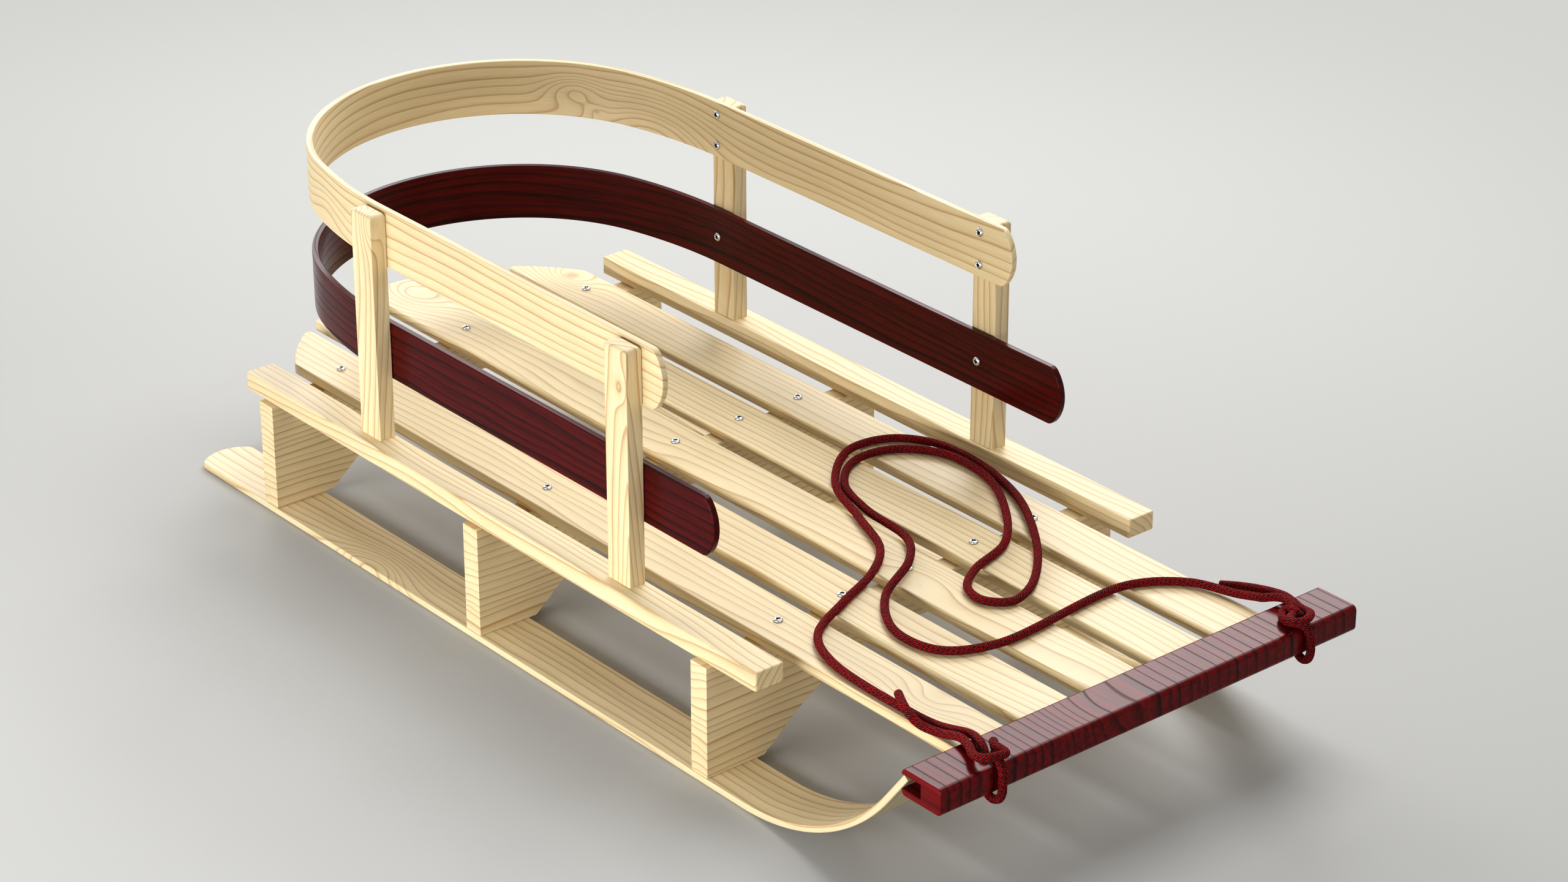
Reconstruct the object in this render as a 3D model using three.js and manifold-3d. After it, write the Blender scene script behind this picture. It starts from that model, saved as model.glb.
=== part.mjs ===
// A child's pull sledge of pale wood with a bent-wood back, in millimetres.
// The origin is on the floor under its middle. +X is the rider's left, -Y the front and +Z up.
import * as THREE from "three";
import { mergeVertices } from "three/addons/utils/BufferGeometryUtils.js";
import Module from "manifold-3d";

const wasm = await Module();
wasm.setup();

// Clearance between pieces that touch, overrun of a cut, and the weld that joins shared corners
const fit = 0.3;
const overrun = 2;
const weld = 0.001;

// Whole length, and how far the outer bolsters stand back from the two ends
const sledgeLength = 890;
const frontOverhang = 248;
const rearOverhang = 112;

// Bolsters: cross boards with an arched underside and a foot at each end
const bolsterHalfLength = 190;
const bolsterThickness = 17.4;
const bolsterHeight = 86.4;
const beamDepth = 26.2;
const footWidth = 51;
const bolsterEdge = 1;
const middleBolsterShare = 0.497;
const straightFlankShare = 0.28;

// Runners: bent boards under the feet, turned up at the front into the bar's groove
const runnerWidth = 45.6;
const runnerThickness = 5;
const runnerEdge = 1.2;
const runnerProud = 0.8;
const runnerRearInset = 4.6;
const runnerBendRadius = 186.7;
const runnerTipLength = 31.7;

// Deck slats: their rear ends follow one common arc, so deckRearSag is the setback of its outer corners
const slatThickness = 8.3;
const innerSlatGap = 16.3;
const outerSlatGap = 12.6;
const deckSideGap = 3;
const deckRearSag = 81.3;
const slatEdge = 2;
const slatCorner = 4;

// Side rails over the bolsters' ends, pegged to the outer bolsters
const railWidth = 25.1;
const railThickness = 15;
const railInset = 4.1;
const railFrontReach = 56;
const railRearReach = 32;
const railEdge = 2;
const railCorner = 3;
const dowelRadius = 4;
const dowelBolsterDepth = 15;
const dowelRailShare = 0.6;

// Front bar: a board with a groove along its back and a hole for the rope near each end
const barDepth = 38;
const barProud = 2.1;
const upperLip = 4.5;
const lowerLip = 4.8;
const grooveSlack = 1.9;
const grooveDepth = 18.2;
const barNose = 4;
const upperLipCorner = 3;
const lowerLipCorner = 4;
const lipCornerShare = 0.7;
const barEdge = 1;
const ropeHoleInset = 48.1;
const ropeHoleRadius = 4;
const ropeHoleShare = 0.556;

// Posts on the rails, each with a tenon
const postWidth = 13.7;
const postDepth = 24.6;
const postHeight = 180.2;
const postCorner = 2.6;
const postEdge = 2;
const frontPostSetback = 104;
const rearPostSetback = 123.8;
const postOffsetShare = 0.14;
const tenonShare = { width: 0.58, depth: 0.57, length: 0.66 };

// Hoops: bent boards inside the posts and round the back
const hoopThickness = 5.2;
const hoopHeight = 45.5;
const hoopEdge = 1.5;
const upperHoopProud = 2;
const upperHoopReach = 34.3;
const lowerHoopReach = 88.7;
const lowerHoopShare = 0.514;
const shoulderLead = 3.2;
const shoulderRadius = 377;
const shoulderTurn = THREE.MathUtils.degToRad(15.14);

// Arc-cut ends of the hoops and of the runners' rear
const tipCrown = 10.4;
const tipCorner = 3;

// Screws: dome heads in the deck and the hoops, countersunk heads under the runners
const screwHeadRadius = 3.5;
const screwDome = 2;
const screwShankRadius = 1.6;
const deckScrewBiteShare = 0.75;
const hoopScrewBiteShare = 0.75;
const upperScrewShares = { upper: 0.78, second: 0.22 };
const lowerScrewShares = { lower: 0.5 };
const runnerScrewLength = 24;
const runnerScrewHeadRadius = 4;
const runnerScrewHeadDepth = 2.4;
const runnerScrewRecess = 0.5;

// Rope
const ropeRadius = 3.1;
const knotStep = 5;

// Counts of facets
const shankSides = 8;
const domeSteps = 3;
const holeSides = 12;
const filletSteps = 2;
const archSteps = 8;
const rearArcSteps = 6;
const tipSteps = 4;
const bendStep = THREE.MathUtils.degToRad(7.5);
const ropeSides = 8;
const towSteps = 80;

// Heights, from the floor up
const bolsterBottom = runnerThickness + fit;
const bolsterTop = bolsterBottom + bolsterHeight;
const deckBottom = bolsterTop + fit;
const railTop = deckBottom + railThickness;
const postTop = railTop + fit + postHeight;
const upperHoopBottom = postTop + upperHoopProud - hoopHeight;
const lowerHoopBottom = railTop + (upperHoopBottom - hoopHeight - railTop) * lowerHoopShare;

// Places along the sledge
const barFront = -sledgeLength / 2;
const deckRear = sledgeLength / 2;
const barRear = barFront + barDepth;
const bolsterPlaces = { front: barFront + frontOverhang, rear: deckRear - rearOverhang };
bolsterPlaces.middle = THREE.MathUtils.lerp(bolsterPlaces.front, bolsterPlaces.rear, middleBolsterShare);
const postPlaces = {
  front: bolsterPlaces.front + frontPostSetback,
  rear: bolsterPlaces.rear - rearPostSetback,
};

// Places across the sledge
const sides = { left: 1, right: -1 };
const runnerX = bolsterHalfLength + runnerProud - runnerWidth / 2;
const railX = bolsterHalfLength - railInset - railWidth / 2;
const postX = railX - railWidth * postOffsetShare;
const hoopHalfWidth = postX - postWidth / 2 - fit;
const deckHalfWidth = runnerX - runnerWidth / 2 - deckSideGap;
const slatCount = 5;
const slatWidth = (2 * (deckHalfWidth - innerSlatGap - outerSlatGap)) / slatCount;
const innerSlatX = slatWidth + innerSlatGap;
const outerSlatX = innerSlatX + slatWidth + outerSlatGap;
const slatPlaces = [-outerSlatX, -innerSlatX, 0, innerSlatX, outerSlatX];
const deckArcRadius = (deckHalfWidth ** 2 + deckRearSag ** 2) / (2 * deckRearSag);

// The bar's groove holds the slats' front ends and the runners' tips
const grooveBottom = deckBottom - fit;
const grooveTop = grooveBottom + slatThickness + fit + grooveSlack;
const grooveEnd = barRear - grooveDepth;
const ropeHoleY = barFront + (barDepth - grooveDepth) * ropeHoleShare;
const ropeHoleX = bolsterHalfLength + barProud - ropeHoleInset;

const X = new THREE.Vector3(1, 0, 0);
const Y = new THREE.Vector3(0, 1, 0);
const Z = new THREE.Vector3(0, 0, 1);
const acrossSledge = new THREE.Matrix4().makeBasis(Y, Z, X);

const wood = () => new THREE.MeshStandardMaterial({ color: 0xdcc09a, roughness: 0.6, metalness: 0 });
const redLacquer = () => new THREE.MeshStandardMaterial({ color: 0x6e2224, roughness: 0.3, metalness: 0 });
const cord = () => new THREE.MeshStandardMaterial({ color: 0x8c2f30, roughness: 0.85, metalness: 0 });
const chrome = () => new THREE.MeshStandardMaterial({ color: 0xc9c9c9, roughness: 0.2, metalness: 1 });
const zincSteel = () => new THREE.MeshStandardMaterial({ color: 0xa8a79f, roughness: 0.4, metalness: 1 });

// Turns a geometry into a solid that can be cut and joined.
function solidOf(geometry) {
  const bare = geometry.clone();
  bare.deleteAttribute("normal");
  bare.deleteAttribute("uv");
  const merged = mergeVertices(bare, weld);
  const vertProperties = merged.attributes.position.array;
  const triVerts = new Uint32Array(merged.index.array);
  return new wasm.Manifold(new wasm.Mesh({ numProp: 3, vertProperties, triVerts }));
}

// Turns a solid back into a geometry.
function geometryOf(solid) {
  const { vertProperties, triVerts } = solid.getMesh();
  const geometry = new THREE.BufferGeometry();
  geometry.setAttribute("position", new THREE.BufferAttribute(vertProperties, 3));
  geometry.setIndex(new THREE.BufferAttribute(triVerts, 1));
  const faceted = geometry.toNonIndexed();
  faceted.computeVertexNormals();
  return faceted;
}

function cut(geometry, cutters) {
  return geometryOf(cutters.reduce((solid, cutter) => solid.subtract(cutter), solidOf(geometry)));
}

// A round cutter from one point to another.
function bore(from, to, radius, count) {
  const along = new THREE.Vector3().subVectors(to, from);
  const cylinder = new THREE.CylinderGeometry(radius, radius, along.length(), count);
  cylinder.applyQuaternion(new THREE.Quaternion().setFromUnitVectors(Y, along.clone().normalize()));
  const middle = new THREE.Vector3().lerpVectors(from, to, 1 / 2);
  return solidOf(cylinder.translate(middle.x, middle.y, middle.z));
}

const boreDown = (x, y, bottom, top, radius, count = shankSides) =>
  bore(new THREE.Vector3(x, y, bottom), new THREE.Vector3(x, y, top), radius, count);

function box(width, depth, bottom, top) {
  return new THREE.BoxGeometry(width, depth, top - bottom).translate(0, 0, (bottom + top) / 2);
}

function piece(name, geometry, material, x = 0, y = 0, z = 0) {
  const mesh = new THREE.Mesh(geometry, material);
  mesh.name = name;
  mesh.position.set(x, y, z);
  return mesh;
}

// A closed outline through corners of [x, y, radius], anticlockwise. Only outer corners have a radius.
function roundedOutline(corners) {
  const shape = new THREE.Shape();
  corners.forEach(([x, y, radius], i) => {
    if (radius > 0) {
      const [beforeX, beforeY] = corners.at(i - 1);
      const [afterX, afterY] = corners[(i + 1) % corners.length];
      const arrival = Math.atan2(y - beforeY, x - beforeX);
      const departure = Math.atan2(afterY - y, afterX - x);
      const turn = THREE.MathUtils.euclideanModulo(departure - arrival, 2 * Math.PI);
      const setback = radius * Math.tan(turn / 2);
      const centreX = x - setback * Math.cos(arrival) - radius * Math.sin(arrival);
      const centreY = y - setback * Math.sin(arrival) + radius * Math.cos(arrival);
      const startAngle = arrival - Math.PI / 2;
      shape.absarc(centreX, centreY, radius, startAngle, startAngle + turn);
    } else if (i === 0) {
      shape.moveTo(x, y);
    } else {
      shape.lineTo(x, y);
    }
  });
  return shape;
}

function roundedRectangle(width, depth, radius) {
  return roundedOutline([
    [-width / 2, -depth / 2, radius],
    [width / 2, -depth / 2, radius],
    [width / 2, depth / 2, radius],
    [-width / 2, depth / 2, radius],
  ]);
}

// A flat board of an outline, from zero upwards, with its rims rounded.
function board(shape, thickness, edge, curveSegments = filletSteps, bevelSegments = 2) {
  return new THREE.ExtrudeGeometry(shape, {
    depth: thickness - 2 * edge,
    bevelThickness: edge,
    bevelSize: edge,
    bevelOffset: -edge,
    bevelSegments,
    curveSegments,
  }).translate(0, 0, edge);
}

// Bent boards: a flat path of straight runs and arcs, and a board lofted along it.
const straight = (length) => ({ length, curvature: 0, steps: 1 });
const rightArc = (radius, angle) => ({
  length: radius * angle,
  curvature: -1 / radius,
  steps: Math.ceil(angle / bendStep),
});

function advance({ x, y, heading, curvature }, distance) {
  const next = heading + curvature * distance;
  if (curvature === 0) {
    return { x: x + distance * Math.cos(heading), y: y + distance * Math.sin(heading), heading };
  }
  return {
    x: x + (Math.sin(next) - Math.sin(heading)) / curvature,
    y: y - (Math.cos(next) - Math.cos(heading)) / curvature,
    heading: next,
  };
}

function bentPath(x, y, heading, runs) {
  const legs = [];
  const stations = [];
  let length = 0;
  let place = { x, y, heading };
  for (const run of runs) {
    legs.push({ ...place, curvature: run.curvature, start: length });
    for (let i = 0; i < run.steps; i++) stations.push(length + (run.length * i) / run.steps);
    place = advance(legs.at(-1), run.length);
    length += run.length;
  }
  const at = (s) => {
    const leg = legs.findLast(({ start }) => start <= s) ?? legs[0];
    return advance(leg, s - leg.start);
  };
  return { length, stations, at };
}

// One half of an arc-cut end, from its middle to the board's side, as distances [along, out].
function arcTip(width) {
  const radius = (width ** 2 / 4 + tipCrown ** 2) / (2 * tipCrown);
  const halfAngle = Math.asin(width / 2 / radius) - tipCorner / radius;
  const points = [];
  for (let i = 0; i < tipSteps; i++) {
    const angle = (halfAngle * (2 * i + 1)) / (2 * tipSteps - 1);
    points.push([radius - radius * Math.cos(angle), radius * Math.sin(angle)]);
  }
  const [along, out] = points.at(-1);
  const end = tipCrown + tipCorner;
  points.push([(along + 2 * tipCrown + end) / 4, (out + (3 * width) / 2) / 4], [end, width / 2]);
  return points;
}

const squareTip = (width) => [[0, width / 2]];

// Moves a board's side inwards by an inset, square to the side at each point.
function insetSide(side, inset) {
  const mirrored = ([along, out]) => [along, -out];
  const unit = (from, to) => new THREE.Vector2(to[0] - from[0], to[1] - from[1]).normalize();
  return side.map((point, i) => {
    const before = unit(i > 0 ? side[i - 1] : mirrored(side[0]), point);
    const after = unit(point, i < side.length - 1 ? side[i + 1] : mirrored(side.at(-1)));
    const way = before.add(after).normalize();
    return [point[0] + way.y * inset, point[1] - way.x * inset];
  });
}

// Lofts a board along a path. The path lies in X and Y, the width is along Z, and the edges are rounded.
function bentBoard(path, width, thickness, edge, startTip, endTip) {
  const inner = path.stations.filter((s) => s > startTip.at(-1)[0] && s < path.length - endTip.at(-1)[0]);
  const side = [
    ...startTip,
    ...inner.map((s) => [s, width / 2]),
    ...endTip.toReversed().map(([along, out]) => [path.length - along, out]),
  ];
  const half = thickness / 2;
  const rim = edge * (1 - Math.SQRT1_2);
  const levels = [
    [half, edge],
    [half - rim, rim],
    [half - edge, 0],
    [edge - half, 0],
    [rim - half, rim],
    [-half, edge],
  ];
  const sheets = levels.map(([, inset]) => insetSide(side, inset));
  const positions = [];
  side.forEach((_, k) => {
    for (const hand of [1, -1]) {
      levels.forEach(([height], j) => {
        const [along, out] = sheets[j][k];
        const { x, y, heading } = path.at(along);
        positions.push(x - Math.sin(heading) * height, y + Math.cos(heading) * height, hand * out);
      });
    }
  });
  const left = (k, j) => 2 * k * levels.length + j;
  const right = (k, j) => left(k, j) + levels.length;
  const index = [];
  const quad = (a, b, c, d) => index.push(a, b, c, a, c, d);
  const last = side.length - 1;
  const under = levels.length - 1;
  for (let k = 0; k < last; k++) {
    for (let j = 0; j < under; j++) {
      quad(left(k, j), left(k, j + 1), left(k + 1, j + 1), left(k + 1, j));
      quad(right(k, j), right(k + 1, j), right(k + 1, j + 1), right(k, j + 1));
    }
    quad(right(k, 0), left(k, 0), left(k + 1, 0), right(k + 1, 0));
    quad(right(k + 1, under), left(k + 1, under), left(k, under), right(k, under));
  }
  for (let j = 0; j < under; j++) {
    quad(right(0, j + 1), left(0, j + 1), left(0, j), right(0, j));
    quad(right(last, j), left(last, j), left(last, j + 1), right(last, j + 1));
  }
  const geometry = new THREE.BufferGeometry();
  geometry.setAttribute("position", new THREE.Float32BufferAttribute(positions, 3));
  geometry.setIndex(index);
  return geometry;
}

// Screws and dowels stand along Y, with the head's underside at zero.
function domeScrew(length) {
  const profile = [
    new THREE.Vector2(0, -length),
    new THREE.Vector2(screwShankRadius, screwShankRadius - length),
    new THREE.Vector2(screwShankRadius, 0),
  ];
  for (let i = 0; i < domeSteps; i++) {
    const angle = ((Math.PI / 2) * i) / domeSteps;
    profile.push(new THREE.Vector2(screwHeadRadius * Math.cos(angle), screwDome * Math.sin(angle)));
  }
  profile.push(new THREE.Vector2(0, screwDome));
  return new THREE.LatheGeometry(profile, shankSides);
}

// The countersunk screw points up from the floor. Grown by the fit, it is also the cutter of its own hole.
function runnerScrew(mouth, grow) {
  const shank = screwShankRadius + grow;
  const coneTop = runnerScrewRecess + runnerScrewHeadDepth;
  const profile = [
    new THREE.Vector2(0, mouth),
    new THREE.Vector2(runnerScrewHeadRadius + grow, mouth),
    new THREE.Vector2(runnerScrewHeadRadius + grow, runnerScrewRecess + grow),
    new THREE.Vector2(shank, coneTop + grow),
    new THREE.Vector2(shank, runnerScrewLength - screwShankRadius + grow),
    new THREE.Vector2(0, runnerScrewLength + grow),
  ];
  return new THREE.LatheGeometry(profile, shankSides).rotateX(Math.PI / 2);
}

const runnerScrewHole = (x, y, floor) =>
  solidOf(runnerScrew(-overrun, fit).translate(x, y, -floor));

function runner() {
  const half = runnerThickness / 2;
  const tipHeight = grooveTop - fit - half;
  const reach = Math.hypot(runnerBendRadius - half, runnerTipLength);
  const lean = Math.atan2(runnerTipLength, runnerBendRadius - half);
  const turn = Math.acos((runnerBendRadius - tipHeight) / reach) - lean;
  const rise = runnerBendRadius * (1 - Math.cos(turn));
  const lipRun = ((grooveBottom - half - rise) * Math.cos(turn) + half + fit) / Math.sin(turn);
  const bendStart = barRear + runnerBendRadius * Math.sin(turn) + lipRun;
  const rearTip = deckRear - runnerRearInset;
  const path = bentPath(rearTip, half, Math.PI, [
    straight(rearTip - bendStart),
    rightArc(runnerBendRadius, turn),
    straight(runnerTipLength),
  ]);
  const shape = bentBoard(
    path, runnerWidth, runnerThickness, runnerEdge, arcTip(runnerWidth), squareTip(runnerWidth));
  shape.applyMatrix4(acrossSledge);
  return cut(shape, Object.values(bolsterPlaces).map((y) => runnerScrewHole(0, y, 0)));
}

function bolster(pegged) {
  const foot = bolsterHalfLength - footWidth;
  const rise = bolsterHeight - beamDepth;
  const span = Math.hypot(foot, rise);
  const slope = Math.atan2(rise, foot) + Math.asin(((1 - straightFlankShare) * rise) / span);
  const radius = (foot * Math.sin(slope) - rise * Math.cos(slope)) / (1 - Math.cos(slope));
  const shape = new THREE.Shape();
  shape.moveTo(-bolsterHalfLength, 0);
  shape.lineTo(-foot, 0);
  shape.absarc(0, rise - radius, radius, Math.PI / 2 + slope, Math.PI / 2 - slope, true);
  shape.lineTo(foot, 0);
  shape.lineTo(bolsterHalfLength, 0);
  shape.lineTo(bolsterHalfLength, bolsterHeight);
  shape.lineTo(-bolsterHalfLength, bolsterHeight);
  const solid = board(shape, bolsterThickness, bolsterEdge, archSteps, 1);
  solid.rotateX(Math.PI / 2).translate(0, bolsterThickness / 2, 0);
  const screwDepth = bolsterHeight - beamDepth * deckScrewBiteShare - fit;
  const holeRadius = screwShankRadius + fit;
  const cutters = slatPlaces.map((x) => boreDown(x, 0, screwDepth, bolsterHeight + overrun, holeRadius));
  for (const side of Object.values(sides)) {
    cutters.push(runnerScrewHole(side * runnerX, 0, bolsterBottom));
    if (!pegged) continue;
    const pegBottom = bolsterHeight - dowelBolsterDepth - fit;
    cutters.push(boreDown(side * railX, 0, pegBottom, bolsterHeight + overrun, dowelRadius + fit));
  }
  return cut(solid, cutters);
}

function slat(x) {
  const arcY = deckRear - deckArcRadius;
  const half = slatWidth / 2;
  const front = grooveEnd + fit;
  const startAngle = Math.acos((x + half) / deckArcRadius);
  const endAngle = Math.acos((x - half) / deckArcRadius);
  const corners = [[-half, front, 0], [half, front, 0]];
  for (let i = 0; i <= rearArcSteps; i++) {
    const angle = THREE.MathUtils.lerp(startAngle, endAngle, i / rearArcSteps);
    const radius = i % rearArcSteps === 0 ? slatCorner : 0;
    corners.push([deckArcRadius * Math.cos(angle) - x, deckArcRadius * Math.sin(angle) + arcY, radius]);
  }
  const holes = Object.values(bolsterPlaces).map((y) =>
    boreDown(0, y, -overrun, slatThickness + overrun, screwShankRadius + fit));
  return cut(board(roundedOutline(corners), slatThickness, slatEdge), holes);
}

// The posts' mortises lie off the rail's middle, nearer the deck.
function rail(side) {
  const front = bolsterPlaces.front - railFrontReach;
  const rear = bolsterPlaces.rear + railRearReach;
  const solid = board(roundedRectangle(railWidth, rear - front, railCorner), railThickness, railEdge);
  solid.translate(0, (front + rear) / 2, 0);
  const mortiseFloor = railThickness * (1 - tenonShare.length) - fit;
  const mortiseWidth = postWidth * tenonShare.width + 2 * fit;
  const mortiseDepth = postDepth * tenonShare.depth + 2 * fit;
  const mortises = Object.values(postPlaces).map((y) => {
    const mortise = box(mortiseWidth, mortiseDepth, mortiseFloor, railThickness + overrun);
    return solidOf(mortise.translate(side * (postX - railX), y, 0));
  });
  const pegTop = railThickness * dowelRailShare + fit;
  const pegs = [bolsterPlaces.front, bolsterPlaces.rear].map((y) =>
    boreDown(0, y, -overrun, pegTop, dowelRadius + fit));
  return cut(solid, [...mortises, ...pegs]);
}

function dowel() {
  const length = dowelBolsterDepth + fit + railThickness * dowelRailShare;
  const bottom = bolsterTop - dowelBolsterDepth;
  return new THREE.CylinderGeometry(dowelRadius, dowelRadius, length, shankSides)
    .rotateX(Math.PI / 2)
    .translate(0, 0, bottom + length / 2);
}

function frontBar() {
  const bottom = grooveBottom - lowerLip;
  const top = grooveTop + upperLip;
  const outline = roundedOutline([
    [barFront, top, barNose],
    [barFront, bottom, barNose],
    [barRear, bottom, Math.min(lowerLipCorner, lowerLip * lipCornerShare)],
    [barRear, grooveBottom, 0],
    [grooveEnd, grooveBottom, 0],
    [grooveEnd, grooveTop, 0],
    [barRear, grooveTop, 0],
    [barRear, top, Math.min(upperLipCorner, upperLip * lipCornerShare)],
  ]);
  const halfLength = bolsterHalfLength + barProud;
  const solid = board(outline, 2 * halfLength, barEdge, filletSteps, 1);
  solid.translate(0, 0, -halfLength).applyMatrix4(acrossSledge);
  const holes = Object.values(sides).map((side) =>
    boreDown(side * ropeHoleX, ropeHoleY, bottom - overrun, top + overrun, ropeHoleRadius, holeSides));
  return cut(solid, holes);
}

// Heights of the hoop screws, and their names
function hoopScrewHeights() {
  const above = (bottom, shares) =>
    Object.entries(shares).map(([label, share]) => [label, bottom + hoopHeight * share]);
  return [...above(upperHoopBottom, upperScrewShares), ...above(lowerHoopBottom, lowerScrewShares)];
}

function post(side) {
  const shape = roundedRectangle(postWidth, postDepth, postCorner);
  const shaft = solidOf(board(shape, postHeight + postEdge, postEdge).translate(0, 0, -postEdge));
  const below = solidOf(box(2 * postWidth, 2 * postDepth, -2 * postEdge, 0));
  const tenonLength = railThickness * tenonShare.length;
  const tenon = box(postWidth * tenonShare.width, postDepth * tenonShare.depth, -tenonLength, postEdge);
  const holes = hoopScrewHeights().map(([, z]) => {
    const height = z - railTop - fit;
    const face = side * (postWidth / 2 + overrun);
    const end = side * (postWidth / 2 - postWidth * hoopScrewBiteShare - fit);
    return bore(new THREE.Vector3(-face, 0, height), new THREE.Vector3(-end, 0, height),
      screwShankRadius + fit, shankSides);
  });
  return geometryOf(holes.reduce((solid, hole) => solid.subtract(hole),
    shaft.subtract(below).add(solidOf(tenon))));
}

function hoop(reach, heights) {
  const middle = hoopHalfWidth - hoopThickness / 2;
  const front = postPlaces.front - reach;
  const shoulderStart = postPlaces.rear - shoulderLead;
  const drawnIn = shoulderRadius * (1 - Math.cos(shoulderTurn));
  const backRadius = (middle - drawnIn) / Math.cos(shoulderTurn);
  const path = bentPath(-middle, front, Math.PI / 2, [
    straight(shoulderStart - front),
    rightArc(shoulderRadius, shoulderTurn),
    rightArc(backRadius, Math.PI - 2 * shoulderTurn),
    rightArc(shoulderRadius, shoulderTurn),
    straight(shoulderStart - front),
  ]);
  const tip = arcTip(hoopHeight);
  const solid = bentBoard(path, hoopHeight, hoopThickness, hoopEdge, tip, tip);
  const holes = [];
  for (const side of Object.values(sides)) {
    for (const y of Object.values(postPlaces)) {
      for (const z of heights) {
        const face = (x) => new THREE.Vector3(side * x, y, z);
        const inside = face(hoopHalfWidth - hoopThickness - overrun);
        holes.push(bore(inside, face(hoopHalfWidth + overrun), screwShankRadius + fit, shankSides));
      }
    }
  }
  return cut(solid, holes);
}

// Tow rope: its free stretch lies on the deck, and each end is knotted through the bar's hole and round it.
const towRoute = [
  [-133.7, -400, 108.8], [-135, -378, 104], [-136.9, -352, 103.7], [-132.8, -270, 103.7],
  [-115.5, -234.3, 103.7], [-71.5, -210, 103.7], [-29.7, -191, 103.7], [0, -166.3, 103.7],
  [19.8, -121, 103.7], [41.5, -69.3, 103.7], [87, -32, 103.7], [122, -37, 103.7],
  [142.3, -63, 103.7], [145.8, -104, 103.7], [136, -152.7, 103.7], [116.5, -193.5, 104.7],
  [76.8, -247.4, 103.7], [40, -277.8, 103.7], [17.5, -283.6, 103.7], [3.8, -268.8, 103.7],
  [8, -249.5, 103.7], [30, -232.8, 103.7], [73, -216.8, 103.7], [113, -173, 103.7],
  [135.4, -128, 103.7], [135.8, -81.5, 103.7], [110.5, -51.5, 103.7], [76.5, -49, 103.7],
  [46.5, -73.7, 103.7], [32.3, -114, 103.7], [25.4, -165.5, 103.7], [-0.2, -197.3, 106.6],
  [-45, -223.2, 103.7], [-72.2, -266, 103.7], [-66.5, -303, 103.7], [-32, -321.6, 103.7],
  [96, -318, 103.7], [131.5, -342, 103.7], [142.9, -378.3, 105.6], [145.6, -394.6, 108.9],
];

// Each knot's legs, from the free stretch to the tail: down through the hole, up the front, and round
const rightKnotLegs = [
  [
    [-133.7, -400, 108.8], [-133.5, -403.9, 109.7], [-134.1, -411, 111], [-136.7, -419.1, 112.2],
    [-139.7, -426.2, 112], [-143.4, -433.2, 108], [-144, -434, 102], [-144, -434, 92],
    [-144, -434.1, 87.5], [-143.8, -436.5, 82.9], [-143.4, -441.3, 80.9], [-142.8, -446.4, 83.2],
    [-142.4, -448.6, 88.3], [-142.3, -448.6, 96], [-142.4, -448.5, 103], [-142, -446.3, 107.9],
    [-139.8, -441, 110.2], [-135.5, -434.5, 110.2], [-131.5, -428.6, 110.5], [-129.9, -426.2, 111.5],
  ],
  [
    [-129.9, -426.2, 111.5], [-132.2, -428.2, 113.3], [-135.2, -433.5, 113.9], [-135.5, -438.7, 114],
    [-136.8, -445, 114.2], [-144.8, -446.5, 115.6], [-151.5, -443.9, 115.4], [-153.8, -437.9, 114],
    [-151.7, -429.4, 112.5], [-146.9, -422.2, 111.7], [-142.8, -412.5, 110.9], [-141.4, -405.5, 110],
    [-140.8, -390.2, 105.3], [-142.4, -380.2, 104.2], [-144.5, -370.4, 105.2], [-145.1, -362.6, 108.2],
    [-143.3, -355.1, 110.4], [-139, -346.5, 110.6], [-134.4, -338.3, 110.4],
  ],
];
const leftKnotLegs = [
  [
    [145.6, -394.6, 108.9], [146.2, -398.5, 109.7], [150.6, -405.5, 111.6], [152.8, -412.1, 112.6],
    [151, -420.1, 113.2], [148.3, -427.3, 112.6], [144.1, -433.2, 108], [144, -434, 102],
    [144, -434, 92], [144, -434.1, 87.5], [143.8, -436.5, 82.9], [143.3, -441.3, 80.9],
    [142.9, -446.4, 83.2], [142.8, -448.6, 88.3], [142.6, -448.6, 97], [141, -448.4, 103.5],
    [139.8, -446.3, 108.4], [137, -441, 110.5],
  ],
  [
    [137, -441, 110.5], [133.6, -435.5, 110.4], [134.4, -429.5, 110.4], [137.6, -425.4, 110.5],
    [140.6, -423.2, 111.3], [143.4, -424.6, 112.6], [144.3, -428.2, 113.4], [144.1, -432.4, 113.4],
    [145.1, -435.6, 111.5],
  ],
  [
    [146.4, -431.6, 110.8], [140, -432.9, 112.4], [132.8, -437.4, 114.4], [129.3, -442.3, 115.6],
    [130.1, -446.6, 116.2], [135.4, -447.9, 116], [143.6, -445, 115], [149.6, -440.3, 113.8],
    [152.7, -433.5, 111.8], [154.6, -426, 110.6], [157.5, -417, 110.4], [160, -406.5, 109.7],
    [160.6, -396.2, 108], [159.7, -385.5, 106.2], [157.3, -376.1, 104.8], [153, -365.6, 103.4],
    [147.8, -357.1, 102.4],
  ],
];

const vectors = (route) => route.map((point) => new THREE.Vector3(...point));

function ropeTube(points, stepsOf) {
  const path = new THREE.CatmullRomCurve3(points, false, "centripetal");
  const section = new THREE.Shape().absarc(0, 0, ropeRadius, 0, 2 * Math.PI);
  const steps = stepsOf(path.getLength());
  return new THREE.ExtrudeGeometry(section, {
    steps, curveSegments: ropeSides / 2, bevelEnabled: false, extrudePath: path,
  });
}

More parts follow.
